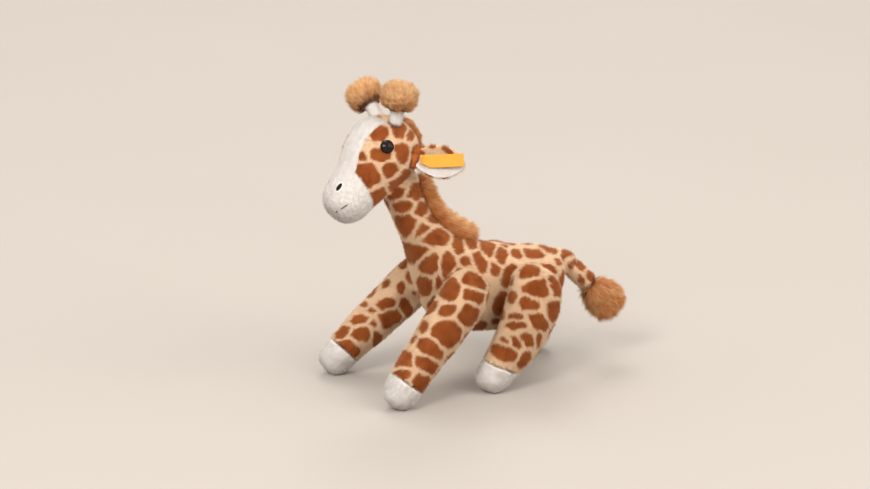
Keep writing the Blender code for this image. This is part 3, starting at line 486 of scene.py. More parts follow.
def spots_of(mesh, ellipses, seed, sizes=SPOT_SIZES):
    """The spots of a form: those of the photograph first, then the hidden sides filled evenly."""
    found = seen_spots(mesh, ellipses)
    random = np.random.default_rng(seed)
    places, normals, _ = scatter(mesh, SPOT_TRIES, seed)
    order = random.permutation(len(places))
    for size in sizes:
        for place, normal in zip(places[order], normals[order]):
            if found:
                middles = np.array([spot[0] for spot in found])
                reaches = np.array([spot[2] for spot in found])
                if np.min(np.linalg.norm(middles - place, axis=1) - reaches) < size + SPOT_NET:
                    continue
            side = unit(np.cross(normal, random.normal(size=3)))
            stretch = random.uniform(1.0, SPOT_STRETCH)
            other = np.cross(normal, side) * size / stretch
            found.append(spot_shape(place, side * size * stretch, other, normal))
    return found


def brownness(points, found, seed):
    """How brown each point is, from 0 in the pale net between the spots to 1 inside a spot."""
    moved = points.copy()
    for axis in range(3):
        moved[:, axis] += SPOT_WOBBLE * ripple(points, SPOT_WOBBLE_SIZE, seed + axis)
    outside = np.stack(
        [(np.linalg.norm((moved - middle) @ turn.T, axis=1) - 1) * radius for middle, turn, radius in found],
        axis=1,
    )
    outside = np.partition(outside, 1, axis=1)[:, :2]
    nearest, following = outside.min(axis=1), outside.max(axis=1)
    inside = np.minimum(-nearest, (following - nearest - SPOT_GAP) / 2)
    return smoothstep(inside / SPOT_FUZZ + 0.5)


def plain(places):
    """No spots."""
    return np.zeros(len(places))


# Hairs


def hairs(name, roots, normals, directions, lengths, width, tones, material, rings=1, bend=None):
    """Closed tapering hairs as one mesh.

    tones is how brown each hair is. bend is how far a hair's tip is carried off the straight line.
    """
    count = len(roots)
    random = np.random.default_rng(len(name) * 977 + count)
    side = unit(np.cross(directions, random.normal(size=(count, 3))))
    other = np.cross(directions, side)
    per_hair = 3 * rings + 1
    points = np.empty((count, per_hair, 3))
    along = np.empty((count, per_hair))
    bent = np.zeros((count, 3)) if bend is None else bend
    for ring in range(rings):
        share = ring / rings
        middle = roots + directions * (lengths * share)[:, None] + bent * share**2
        radius = width / 2 * (1 - HAIR_TAPER * share)
        for corner in range(3):
            index, angle = ring * 3 + corner, corner * 2 * math.pi / 3
            points[:, index] = middle + radius * (side * math.cos(angle) + other * math.sin(angle))
            along[:, index] = share
    points[:, -1] = roots + directions * lengths[:, None] + bent
    along[:, -1] = 1
    faces = [(2, 1, 0)]
    for ring in range(rings - 1):
        for a, b, c, d in band(ring * 3, ring * 3 + 3, 3):
            faces += [(a, b, c), (a, c, d)]
    last = 3 * rings - 3
    for corner in range(3):
        faces.append((last + corner, last + (corner + 1) % 3, per_hair - 1))
    starts = (np.arange(count) * per_hair)[:, None, None]
    loops = (starts + np.array(faces)[None, :, :]).reshape(-1)
    mesh = bpy.data.meshes.new(name)
    mesh.vertices.add(count * per_hair)
    mesh.vertices.foreach_set("co", points.astype(np.float32).ravel())
    mesh.loops.add(len(loops))
    mesh.loops.foreach_set("vertex_index", loops.astype(np.int32))
    mesh.polygons.add(len(loops) // 3)
    mesh.polygons.foreach_set("loop_start", np.arange(0, len(loops), 3, dtype=np.int32))
    mesh.update(calc_edges=True)
    mesh.shade_smooth()
    leaned = unit(normals + 0.35 * directions + HAIR_SCATTER * random.normal(size=(count, 3)))
    mesh.normals_split_custom_set_from_vertices(np.repeat(leaned, per_hair, axis=0))
    chance = np.repeat(random.random(count), per_hair)
    paint(mesh, np.repeat(tones, per_hair), along.reshape(-1), chance)
    mesh.materials.append(material)
    return link(name, mesh)


def paint(mesh, tones, along, chance):
    """Writes the material's values: how brown, how far along the hair, and a random share."""
    layer = mesh.color_attributes.new("pile", "FLOAT_COLOR", "POINT")
    values = np.ones((len(mesh.vertices), 4), dtype=np.float32)
    for column, numbers in enumerate((tones, along, chance)):
        values[:, column] = numbers
    layer.data.foreach_set("color", values.ravel())


def comb(normals, along, lean, places, seed, stray_share):
    """Hair directions: out of the cloth, leaned along the nap, with small tufts turned aside."""
    flat = along - normals * (normals * along).sum(axis=1)[:, None]
    flat = unit(flat) * np.minimum(np.linalg.norm(flat, axis=1), 1)[:, None]
    stray = np.stack([ripple(places, CLUMP_SIZE, seed + axis) for axis in range(3)], axis=1)
    random = np.random.default_rng(seed)
    return unit(
        normals + lean * flat + stray_share * stray + HAIR_SCATTER * random.normal(size=normals.shape)
    )


# Materials


def material_of(name, roughness, sheen=0.0, specular=0.5):
    """A new node material with its Principled shader set plainly, and the shader."""
    made = bpy.data.materials.new(name)
    made.use_nodes = True
    shader = made.node_tree.nodes["Principled BSDF"]
    for key, value in (
        ("Roughness", roughness), ("Sheen Weight", sheen), ("Sheen Roughness", 0.5),
        ("Sheen Tint", (*SHEEN_TINT, 1)), ("Specular IOR Level", specular),
    ):
        shader.inputs[key].default_value = value
    return made, shader


def pile_values(tree):
    """A node that reads what paint() wrote."""
    attribute = tree.nodes.new("ShaderNodeAttribute")
    attribute.attribute_name = "pile"
    return attribute


def wire(tree, output, target):
    """Joins two sockets."""
    tree.links.new(output, target)


def mixed(tree, factor, first, second, blend="MIX"):
    """The output of a colour mix. Each of the three is a socket or a plain value."""
    node = tree.nodes.new("ShaderNodeMix")
    node.data_type = "RGBA"
    node.blend_type = blend
    for socket, value in ((node.inputs[0], factor), (node.inputs[6], first), (node.inputs[7], second)):
        if isinstance(value, bpy.types.NodeSocket):
            wire(tree, value, socket)
        elif isinstance(value, tuple):
            socket.default_value = (*value, 1)
        else:
            socket.default_value = value
    return node.outputs[2]


def noise(tree, scale, detail=3.0):
    """The value output of a noise in object space, with its scale in swells a metre."""
    place = tree.nodes.new("ShaderNodeTexCoord")
    node = tree.nodes.new("ShaderNodeTexNoise")
    node.inputs["Scale"].default_value = scale
    node.inputs["Detail"].default_value = detail
    wire(tree, place.outputs["Object"], node.inputs["Vector"])
    return node.outputs["Fac"]


def ranged(tree, value, low, high, to_low, to_high):
    """The value moved from one range to another."""
    node = tree.nodes.new("ShaderNodeMapRange")
    wire(tree, value, node.inputs["Value"])
    for key, number in zip(("From Min", "From Max", "To Min", "To Max"), (low, high, to_low, to_high)):
        node.inputs[key].default_value = number
    return node.outputs["Result"]


def bumped(tree, shader, height, strength, distance):
    """A bump on the shader from a height."""
    node = tree.nodes.new("ShaderNodeBump")
    node.inputs["Strength"].default_value = strength
    node.inputs["Distance"].default_value = distance
    wire(tree, height, node.inputs["Height"])
    wire(tree, node.outputs["Normal"], shader.inputs["Normal"])


def pile_material(name, net, spot, spot_dark, painted_root_shade=0.85):
    """Plush or fur: the net and spot colours by the pile's values, darkened at the roots by painted shade.
    """
    made, shader = material_of(name, 0.85, 0.15, 0.25)
    tree = made.node_tree
    split = tree.nodes.new("ShaderNodeSeparateColor")
    wire(tree, pile_values(tree).outputs["Color"], split.inputs["Color"])
    tone, along, chance = split.outputs
    patch = ranged(tree, noise(tree, 90), 0.3, 0.7, 0, 1)
    browns = mixed(tree, patch, spot, spot_dark)
    strayed = mixed(tree, ranged(tree, chance, 0, 1, 0, 0.25), browns, spot_dark)
    base = mixed(tree, tone, net, strayed)
    # Painted shade: the colour darkens from the tips down to the roots.
    shade = ranged(tree, along, 0, 0.8, painted_root_shade, 1)
    dark = tree.nodes.new("ShaderNodeCombineColor")
    for socket in dark.inputs[:3]:
        wire(tree, shade, socket)
    coloured = mixed(tree, 1.0, base, dark.outputs[0], "MULTIPLY")
    wire(tree, coloured, shader.inputs["Base Color"])
    bumped(tree, shader, noise(tree, 1600, 2), 0.25, 0.3 * MM)
    return made


def plain_cloth(name, colour, darker, scale, roughness=0.8, bump=0.3, sheen=0.1):
    """Fibre, thread or moulded plastic: one colour with soft patches and a fine grain."""
    made, shader = material_of(name, roughness, sheen, 0.12)
    tree = made.node_tree
    wire(tree, mixed(tree, noise(tree, scale), colour, darker), shader.inputs["Base Color"])
    bumped(tree, shader, noise(tree, scale * 6, 2), bump, 0.2 * MM)
    return made


def woven_tape(name, colour, darker):
    """Woven tape: fine ribs each way, by the strip's own millimetres."""
    made, shader = material_of(name, 0.6, 0.1)
    tree = made.node_tree
    place = pile_values(tree).outputs["Vector"]
    weave = tree.nodes.new("ShaderNodeMath")
    weave.operation = "MULTIPLY"
    for socket, direction in zip(weave.inputs, ("X", "Y")):
        wave = tree.nodes.new("ShaderNodeTexWave")
        wave.bands_direction = direction
        wave.inputs["Scale"].default_value = TAPE_RIBS
        wave.inputs["Distortion"].default_value = 0.4
        wire(tree, place, wave.inputs["Vector"])
        wire(tree, wave.outputs["Fac"], socket)
    worn = mixed(tree, ranged(tree, noise(tree, 350), 0.35, 0.75, 0, 0.35), colour, darker)
    ribbed = mixed(tree, ranged(tree, weave.outputs[0], 0, 1, 0.5, 0), worn, darker)
    wire(tree, ribbed, shader.inputs["Base Color"])
    bumped(tree, shader, weave.outputs[0], 0.5, 0.1 * MM)
    return made


def eye_material():
    """Black glossy safety eye, with faint uneven polish."""
    made, shader = material_of("eye_gloss", 0.06, specular=0.17)
    tree = made.node_tree
    wire(tree, mixed(tree, noise(tree, 300), EYE_BLACK, EYE_BROWN), shader.inputs["Base Color"])
    wire(tree, ranged(tree, noise(tree, 900), 0.3, 0.7, 0.04, 0.09), shader.inputs["Roughness"])
    return made


SPOTTED = pile_material("spotted_plush", CREAM, BROWN, BROWN_DARK)
# The white plush's darker patches are its painted shade colour.
WHITE_PLUSH = pile_material("white_plush", WHITE, WHITE, WHITE_PAINTED_SHADE, painted_root_shade=0.88)
LONG_FUR = pile_material("long_fur", CARAMEL_LIGHT, CARAMEL, BROWN, painted_root_shade=0.72)
FIBRE = plain_cloth("fibre_fill", (0.85, 0.84, 0.80), (0.7, 0.68, 0.64), 400)

WASHER = plain_cloth("washer_plastic", (0.7, 0.7, 0.68), (0.6, 0.6, 0.58), 200, 0.35, 0.05, 0.0)
THREAD = plain_cloth("thread", (0.020, 0.011, 0.008), (0.010, 0.006, 0.005), 2500, 0.7, 0.4, 0.0)
LABEL = woven_tape("label_tape", YELLOW, YELLOW_DEEP)
LABEL_THREAD = plain_cloth("label_thread", YELLOW_DEEP, (0.6, 0.24, 0.01), 2500, 0.5, 0.3)
EYE = eye_material()


def finish_piece(piece, body, nodes=()):
    """Puts a piece on its body, and hides the CAD nodes that it stands for."""
    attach(piece, body)
    if nodes:
        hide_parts(*nodes)


def skin(name, mesh, material, tone_of, body_name, nodes, white=None):
    """The cloth under the pile, painted like its roots, in painted shade. white says which faces are white
    plush.
    """
    mesh.name = name
    paint(mesh, tone_of(corners(mesh)), *ROOT_PAINT)
    mesh.materials.clear()
    mesh.materials.append(material)
    mesh.shade_smooth()
    if white is not None:
        mesh.materials.append(WHITE_PLUSH)
        mesh.polygons.foreach_set("material_index", white.astype(np.int32))
        mesh.update()
    finish_piece(link(name, mesh), body_name, nodes)


def filling(name, body_name, nodes, depth):
    """Bare fibre filling inside the skins."""
    skin(f"filling_{name}", form(nodes, depth=depth), FIBRE, plain, body_name, nodes)


def plush_pile(name, mesh, material, tone_of, body_name, nap, length, seed, keep=None, faces=None):
    """Short pile over a form. tone_of says how brown each root is, and keep and faces where it grows."""
    roots, normals, chosen = scatter(mesh, PLUSH_DENSITY, seed)
    kept = np.ones(len(roots), dtype=bool) if keep is None else keep(roots)
    if faces is not None:
        kept &= faces[triangle_owner(mesh)[chosen]]
    roots, normals = roots[kept], normals[kept]
    stray = WHITE_STRAY if material == WHITE_PLUSH else PLUSH_STRAY
    directions = comb(normals, nap(roots), PLUSH_LEAN, roots, seed + 5, stray)
    random = np.random.default_rng(seed + 9)
    lengths = length * (0.8 + 0.4 * random.random(len(roots)))
    room = (roots[:, 2] - FLOOR_GAP) / np.maximum(-directions[:, 2], 0.01)
    lengths = np.clip(lengths, SHORTEST, np.maximum(room, SHORTEST))
    tones = tone_of(roots + SPOT_STRAY * random.normal(size=roots.shape))
    pile = hairs(name, roots, normals, directions, lengths, PLUSH_WIDTH, tones, material)
    finish_piece(pile, body_name)


def plush(name, mesh, material, tone_of, body_name, nodes, nap, length, seed, keep=None):
    """A piece of plush: its skin, and the pile on it."""
    skin(f"plush_{name}", mesh, material, tone_of, body_name, nodes)
    plush_pile(f"pile_{name}", mesh, material, tone_of, body_name, nap, length, seed, keep)


def steady(direction):
    """A nap that runs one way everywhere."""
    return lambda points: np.tile(unit(np.array(direction, dtype=float)), (len(points), 1))


def away_from(place):
    """A nap that runs away from a point."""
    return lambda points: unit(points - np.array(place))


def shell_of(mesh, faces, name, material, tone_of, body_name, node):
    """The faces of a form that one skin covers, as a closed cloth shell."""
    cut = bmesh.new()
    cut.from_mesh(mesh)
    cut.faces.ensure_lookup_table()
    bmesh.ops.delete(cut, geom=[cut.faces[i] for i in np.flatnonzero(~faces)], context="FACES")
    piece = bpy.data.meshes.new(name)
    cut.to_mesh(piece)
    cut.free()
    # The shell takes the roots' painted shade.
    paint(piece, tone_of(corners(piece)), *ROOT_PAINT)
    solid = evaluated(piece, (("SOLIDIFY", {"thickness": SKIN_THICKNESS, "offset": -1.0}),))
    solid.materials.clear()
    solid.materials.append(material)
    solid.shade_smooth()
    solid.name = name
    finish_piece(link(name, solid), body_name, (node,))


# Camera, floor and light


def aimed(thing, place, direction):
    """Puts a camera or lamp at a place, looking that way."""
    thing.location = place
    thing.rotation_mode = "QUATERNION"
    thing.rotation_quaternion = direction.to_track_quat("-Z", "Y")


def make_camera():
    """The photograph's camera."""
    azimuth, elevation = math.radians(CAMERA_AZIMUTH), math.radians(CAMERA_ELEVATION)
    flat = math.cos(elevation)
    back = Vector((math.sin(azimuth) * flat, -math.cos(azimuth) * flat, math.sin(elevation)))
    data = bpy.data.cameras.new("camera")
    data.lens = CAMERA_LENS_MM
    data.sensor_width = SENSOR_WIDTH_MM
    data.clip_start = 0.01
    camera = link("camera", data)
    aimed(camera, CAMERA_AIM + back * CAMERA_DISTANCE, -back)
    bpy.context.scene.camera = camera
    bpy.context.view_layer.update()
    return camera


def make_stage():
    """A pale floor that curves up into the backdrop."""
    profile = [(STAGE_FRONT, 0.0), (STAGE_BACK - STAGE_RADIUS, 0.0)]
    for step in range(1, STAGE_STEPS + 1):
        angle = math.pi / 2 * step / STAGE_STEPS
        away = STAGE_BACK - STAGE_RADIUS + STAGE_RADIUS * math.sin(angle)
        profile.append((away, STAGE_RADIUS - STAGE_RADIUS * math.cos(angle)))
    profile.append((STAGE_BACK, STAGE_HEIGHT))
    turn = Matrix.Rotation(math.radians(CAMERA_AZIMUTH), 3, "Z")
    sides = (-STAGE_WIDTH / 2, STAGE_WIDTH / 2)
    points = [turn @ Vector((x, y, z)) for y, z in profile for x in sides]
    faces = [(row, row + 1, row + 3, row + 2) for row in range(0, len(points) - 2, 2)]
    mesh = bpy.data.meshes.new("floor")
    mesh.from_pydata(points, [], faces)
    mesh.shade_smooth()
    floor = link("floor", mesh)
    made, shader = material_of("floor_paper", 0.9)
    tone = mixed(made.node_tree, noise(made.node_tree, 3), *FLOOR_COLOURS)
    wire(made.node_tree, tone, shader.inputs["Base Color"])
    mesh.materials.append(made)


def make_lights():
    """A broad key from the front left, a fill from the right, a rim from behind, and the room's light."""
    for name, place, size, power, colour in LAMPS:
        data = bpy.data.lights.new(name, "AREA")
        data.size = size
        data.energy = power
        data.color = colour
        aimed(link(name, data), place, LAMP_AIM - Vector(place))
    world = bpy.data.worlds.new("room")
    world.use_nodes = True
    background = world.node_tree.nodes["Background"]
    background.inputs["Color"].default_value = (*ROOM_COLOUR, 1)
    background.inputs["Strength"].default_value = 1.0
    bpy.context.scene.world = world
    bpy.context.scene.view_settings.view_transform = "Standard"


CAMERA = make_camera()
make_stage()
make_lights()


# Body


def body():
    """The body and neck: two skins that meet in a seam down the chest and the back, over one filling."""
    inside = ("trunk_stuffing", "neck_stuffing")
    legs = [node for node in NODES if node.startswith("leg_skin")]
    rump = [(PIVOTS["tail_lift"] + back * TAIL_CARRY, radius) for back, radius in TAIL_SLEEVE]
    mesh = form((*TORSO, *inside), (*HEAD_NODES, *legs), voxel=1.2 * MM, smoothing=9, balls=rump)
    points = corners(mesh)
    push(mesh, -BODY_SEAM_DEPTH * fading(points[:, 1], SEAM_WIDTH) + swells("body", points, 3))
    found = spots_of(mesh, BODY_SPOTS, 11)
    to_right = face_middles(mesh)[:, 1]
    off_legs, off_head = clear_of(legs, OFF_LEGS), clear_of(HEAD_NODES, OFF_NEIGHBOUR)
    nap = steady((0.55, 0, -0.8))

    def tones(places):
        return brownness(places, found, 21)

    for sign, side, faces in ((-1, "left", to_right < 0), (1, "right", to_right >= 0)):

        def keep(roots):
            return off_legs(roots) & off_head(roots) & (roots[:, 1] * sign >= SEAM_BARE)

        shell_of(mesh, faces, f"plush_body_{side}", SPOTTED, tones, "torso", f"body_skin_{side}")
        plush_pile(f"pile_body_{side}", mesh, SPOTTED, tones, "torso", nap, PLUSH_LENGTH, 31 + sign, keep)
    filling("body", "torso", inside, 1.6 * MM)


# Legs


def leg(place, ellipses, seed):
    """One leg: a spotted skin whose solid form takes in its filling, gathered at the seam, and a white hoof.
    """
    body_name = f"{place}_leg"
    own = (f"leg_skin_{place}", f"leg_stuffing_{place}")
    hoof_nodes = (f"hoof_skin_{place}", f"hoof_pellets_{place}")
    mesh = form(own, TORSO, smoothing=12)
    hoof_middle = box_middle(hoof_nodes[0])
    down = unit(hoof_middle - PIVOTS[f"{place}_hip"])
    nap = steady(down)
    points = corners(mesh)
    to_hoof = distances(tree_of(hoof_nodes), points)
    from_hoof = points - hoof_middle
    around = np.arctan2(
        from_hoof @ unit(np.cross(down, (0, 0, 1))),
        from_hoof @ unit(np.cross(down, (0, 1, 0))),
    )
    gathers = GATHER_DEPTH * np.sin(around * GATHERS) * smoothstep(1 - to_hoof / GATHER_REACH)
    push(mesh, gathers + swells("leg", points, seed))
    flare = unit(from_hoof - (from_hoof @ down)[:, None] * down)
    over_hoof = HOOF_SEAM_DROP * down + HOOF_SEAM_FLARE * flare
    place_corners(mesh, corners(mesh) + fading(to_hoof, HOOF_SEAM_REACH)[:, None] * over_hoof)
    found = spots_of(mesh, ellipses, seed + 1)

    def tones(places):
        return brownness(places, found, seed + 2)

    clear = clear_of(TORSO, OFF_NEIGHBOUR)
    plush(f"leg_{place}", mesh, SPOTTED, tones, body_name, own, nap, PLUSH_LENGTH, seed + 3, clear)
    hoof = form(hoof_nodes, voxel=1.1 * MM, depth=0.9 * MM, smoothing=10)
    push(hoof, swells("hoof", corners(hoof), seed + 6))
    points = corners(hoof)
    to_floor = np.clip(1 - points[:, 2] / SOLE_REACH, 0, 1)
    points[:, 2] = np.maximum(points[:, 2] - to_floor * SOLE_PRESS, SOLE_HEIGHT)
    place_corners(hoof, points)

    def off_floor(roots):
        return roots[:, 2] > SOLE_BARE

    plush(
        f"hoof_{place}", hoof, WHITE_PLUSH, plain, body_name, hoof_nodes, nap, WHITE_LENGTH, seed + 4,
        off_floor,
    )


# Head


def sideways(places):
    """How far a place is to the toy's left of the head's middle."""
    return (places - HEAD_CENTRE) @ HEAD_LEFT


def mirrored(places):
    """The same places on the head's other side."""
    return places - 2 * np.outer(sideways(places), HEAD_LEFT)


def laid(tree, pixels):
    """Where the camera's rays through these pixels meet a form, and the form's normals there."""
    hits = [tree.ray_cast(*camera_ray(CAMERA, pixel)) for pixel in pixels]
    return np.array([hit[0] for hit in hits]), np.array([hit[1] for hit in hits])


def settled(tree, places, proud=0.0):
    """The nearest places on a form, raised off it."""
    hits = [tree.find_nearest(place) for place in places.tolist()]
    return np.array([hit[0] for hit in hits]) + proud * np.array([hit[1] for hit in hits])


def refined(path, count):
    """A path with more points, evenly spread."""
    steps = np.linalg.norm(np.diff(path, axis=0), axis=1)
    along = np.concatenate(((0,), np.cumsum(steps)))
    wanted = np.linspace(0, along[-1], count)
    return np.stack([np.interp(wanted, along, path[:, axis]) for axis in range(3)], axis=1)


def surface_of(name, points, faces, material):
    """A closed mesh object from its points and faces."""
    shape = bmesh.new()
    made = [shape.verts.new(point) for point in points]
    for face in faces:
        shape.faces.new([made[index] for index in face])
    bmesh.ops.recalc_face_normals(shape, faces=shape.faces)
    mesh = bpy.data.meshes.new(name)
    shape.to_mesh(mesh)
    shape.free()
    mesh.materials.append(material)
    mesh.shade_smooth()
    return link(name, mesh)


def threads(name, paths, radius, material, sides=8):
    """Closed round threads along these paths, each thinner at its ends."""
    points, faces = [], []
    for path in paths:
        first, last = len(points), len(points) + (len(path) - 1) * sides
        tangents = unit(np.gradient(path, axis=0))
        side = unit(np.cross(tangents, (0.31, 0.52, 0.80)))
        other = np.cross(tangents, side)
        for index in range(len(path)):
            share = index / (len(path) - 1)
            thickness = radius * (0.45 + 0.55 * math.sin(math.pi * share) ** 0.5)
            for corner in range(sides):
                angle = 2 * math.pi * corner / sides
                out = side[index] * math.cos(angle) + other[index] * math.sin(angle)
                points.append(path[index] + thickness * out)
        for low in range(first, last, sides):
            faces.extend(band(low, low + sides, sides))
        faces += [tuple(range(first, first + sides)), tuple(range(last, last + sides))]
    return surface_of(name, points, faces, material)


def oval(name, tree, middle, long_axis, short_axis, proud, material, rings=6, sides=24):
    """A closed domed oval of satin stitch laid on a form."""
    flat, heights = [middle], [proud]
    for step in range(1, rings + 1):
        share = step / rings
        for corner in range(sides):
            angle = 2 * math.pi * corner / sides
            flat.append(middle + share * (long_axis * math.cos(angle) + short_axis * math.sin(angle)))
            ridge = STITCH_RIDGE * math.sin(math.sin(angle) * share * 9)
            heights.append(proud * (1 - 0.8 * share**2) + ridge * (1 - share))
    flat, heights = np.array(flat), np.array(heights)
    count = len(flat)
    on_form = settled(tree, flat)
    raised = on_form + (settled(tree, flat, 1.0) - on_form) * heights[:, None]
    points = np.concatenate((raised, settled(tree, flat, -0.5 * MM)))
    faces = []
    for a, b, *_ in band(1, 1, sides):
        faces += [(0, a, b), (count, count + b, count + a)]
    rim = 1 + (rings - 1) * sides
    for low in range(1, rim, sides):
        for a, b, c, d in band(low, low + sides, sides):
            faces += [(a, d, c, b), (count + a, count + b, count + c, count + d)]
    faces += [(a, d, c, b) for a, b, c, d in band(rim, count + rim, sides)]
    return surface_of(name, points.tolist(), faces, material)


def nearest_to(points, places):
    """The distance from each place to the nearest of a few points."""
    return np.min(np.linalg.norm(places[:, None, :] - points[None, :, :], axis=2), axis=1)


def head():
    """The head: two spotted cheeks and a white panel for the muzzle and blaze, over one filling."""
    others = (*TORSO, "neck_core_stuffing")
    mesh = form(HEAD_NODES, others, voxel=1.1 * MM, smoothing=14)
    cheeks, white = tree_of(HEAD_SKINS), tree_of(("muzzle_skin",))

    def whiteness(places):
        """How far a place is inside the white panel: above 0 there, 0 on the seam."""
        return distances(cheeks, places) - distances(white, places)

    points = corners(mesh)
    tree = mesh_tree(mesh)
    fold = refined(laid(tree, EYE_FOLD)[0], 14)
    folds = np.concatenate((fold, settled(tree, mirrored(fold))))
    edge = whiteness(points)
    middle_seam = fading(sideways(points), SEAM_WIDTH) * (edge < 0)
    seam = np.maximum(fading(edge, SEAM_WIDTH), middle_seam)
    creased = fading(nearest_to(folds, points), EYE_FOLD_WIDTH)
    push(mesh, -HEAD_SEAM_DEPTH * seam - EYE_FOLD_DEPTH * creased + swells("head", points, 5))
    found = spots_of(mesh, HEAD_SPOTS, 41, SPOT_SIZES[1:])
    far_foot = np.array([PIVOTS["horn_bend_right"]])

    def tones(places):
        """Spots, painted shade in brown along the folds beside the eyes, and none round the far horn's foot.
        """
        # The brown along the eye folds is painted shade in the creases.
        spotted = np.maximum(brownness(places, found, 51), 1.2 - nearest_to(folds, places) / (0.9 * MM))
        bare = smoothstep((nearest_to(far_foot, places) - HORN_FOOT_BARE) / HORN_FOOT_FADE)
        return spotted.clip(0, 1) * bare

    marks = face_marks(tree)
    middles = face_middles(mesh)
    panel, left = whiteness(middles) > 0, sideways(middles) > 0
    nap = away_from(HEAD_CENTRE + 60 * MM * np.array((-0.772, 0, -0.636)))
    off_neck, off_eyes = clear_of(others, OFF_NEIGHBOUR), clear_of(("eye_left", "eye_right"), OFF_EYES)

    def keep(roots):
        off_folds = nearest_to(folds, roots) > OFF_FOLDS
        return off_neck(roots) & off_eyes(roots) & off_folds & (nearest_to(marks, roots) > OFF_STITCHES)

    for number, (name, faces, material, tone_of, length, node) in enumerate((
        ("cheek_left", ~panel & left, SPOTTED, tones, CHEEK_LENGTH, "head_skin_left"),
        ("cheek_right", ~panel & ~left, SPOTTED, tones, CHEEK_LENGTH, "head_skin_right"),
        ("muzzle", panel, WHITE_PLUSH, plain, WHITE_LENGTH, "muzzle_skin"),
    )):
        shell_of(mesh, faces, f"plush_{name}", material, tone_of, "head", node)
        plush_pile(
            f"pile_{name}", mesh, material, tone_of, "head", nap, length, 61 + number, keep, faces
        )
    filling("head", "head", ("head_stuffing",), 1.4 * MM)


def face_marks(tree):
    """The stitched nostrils and mouth, the same on both sides. Gives back where their stitches are."""
    x, y, half_length, half_width, angle = NOSTRIL
    cosine, sine = math.cos(math.radians(angle)), math.sin(math.radians(angle))
    tip = (x + half_length * cosine, y - half_length * sine)
    side = (x - half_width * sine, y - half_width * cosine)
    near = laid(tree, ((x, y), tip, side))[0]
    marks = []
    for name, (middle, long_end, short_end) in (("left", near), ("right", settled(tree, mirrored(near)))):
        marks.append(oval(
            f"stitched_nostril_{name}", tree, middle, long_end - middle, short_end - middle,
            NOSTRIL_PROUD, THREAD,
        ))
        finish_piece(marks[-1], "head", (f"nostril_stitch_{name}",))
    paths = []
    for pixels in MOUTH:
        path = refined(laid(tree, pixels)[0], 9)
        for side_path in (path, settled(tree, mirrored(path))):
            paths.append(settled(tree, side_path, MOUTH_PROUD))
    marks.append(threads("stitched_mouth", paths, MOUTH_THREAD, THREAD))
    finish_piece(marks[-1], "head", ("mouth_stitch",))
    return np.concatenate([corners(mark.data) for mark in marks])


# Ears, horns, tail


def ear(side, seed):
    """One ear: a spotted back that folds over the lining's upper edge, and a white lining."""
    body_name, lining_node = f"{side}_ear", f"ear_lining_{side}"
    root = PIVOTS[f"ear_flap_{side}"]
    nap = away_from(root)
    low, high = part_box(lining_node)
    turn_line = low[2] + (high[2] - low[2]) * EAR_TURN_SHARE
    lining_tree = tree_of((lining_node,))
    to_lining = unit(box_middle(lining_node) - box_middle(f"ear_back_{side}"))

    def from_root(places):
        """How far a place is from the ear's root, seen from above."""
        return np.linalg.norm((places - root)[:, :2], axis=1)

    def turned_over(places):
        """Where the back's plush shows on the lining's side: its upper edge and its root."""
        line = turn_line + 0.7 * MM * ripple(places, 12 * MM, seed)
        return (places[:, 2] > line) | (from_root(places) < EAR_ROOT_REACH)

    def behind(places):
        """Whether a place is behind the lining, on the ear's outer side, and not at its rim."""
        return unit(places - settled(lining_tree, places)) @ to_lining < EAR_BEHIND

    for kind, partner in (("back", "lining"), ("lining", "back")):
        is_back, node = kind == "back", f"ear_{kind}_{side}"
        fold = [(root + np.array((back, 0, rise)), radius) for back, rise, radius in EAR_FOLD if is_back]
        mesh = form((node,), voxel=0.8 * MM, depth=0.3 * MM, balls=fold)
        found = spots_of(mesh, EAR_SPOTS if side == "left" else (), seed, SPOT_SIZES[2:])
        clear = clear_of((f"ear_{partner}_{side}",), OFF_PARTNER)

        def tones(places):
            """Spots, and a brown root."""
            spotted = brownness(places, found, seed + 1)
            if is_back:
                lower = smoothstep((turn_line - places[:, 2]) / (2 * MM))
                spotted *= 1 - lower * ~behind(places)
            return np.maximum(spotted, smoothstep((EAR_ROOT_BROWN - from_root(places)) / (2 * MM)))

        def spotted_only(roots):
            """The back's own plush, short of the lining's lower rim, or what is turned over it."""
            if is_back:
                off_lining = distances(lining_tree, roots) > OFF_LINING
                return off_lining & ((roots[:, 2] > turn_line) | behind(roots))
            return clear(roots) & turned_over(roots)

        white = None if is_back else ~turned_over(face_middles(mesh))
        skin(f"plush_{node}", mesh, SPOTTED, tones, body_name, (node,), white)
        plush_pile(
            f"pile_{node}", mesh, SPOTTED, tones, body_name, nap, EAR_LENGTH, seed + 2, spotted_only
        )
        if not is_back:
            plush_pile(
                f"pile_white_{node}", mesh, WHITE_PLUSH, plain, body_name, nap, WHITE_LENGTH, seed + 3,
                lambda roots: clear(roots) & ~turned_over(roots),
            )


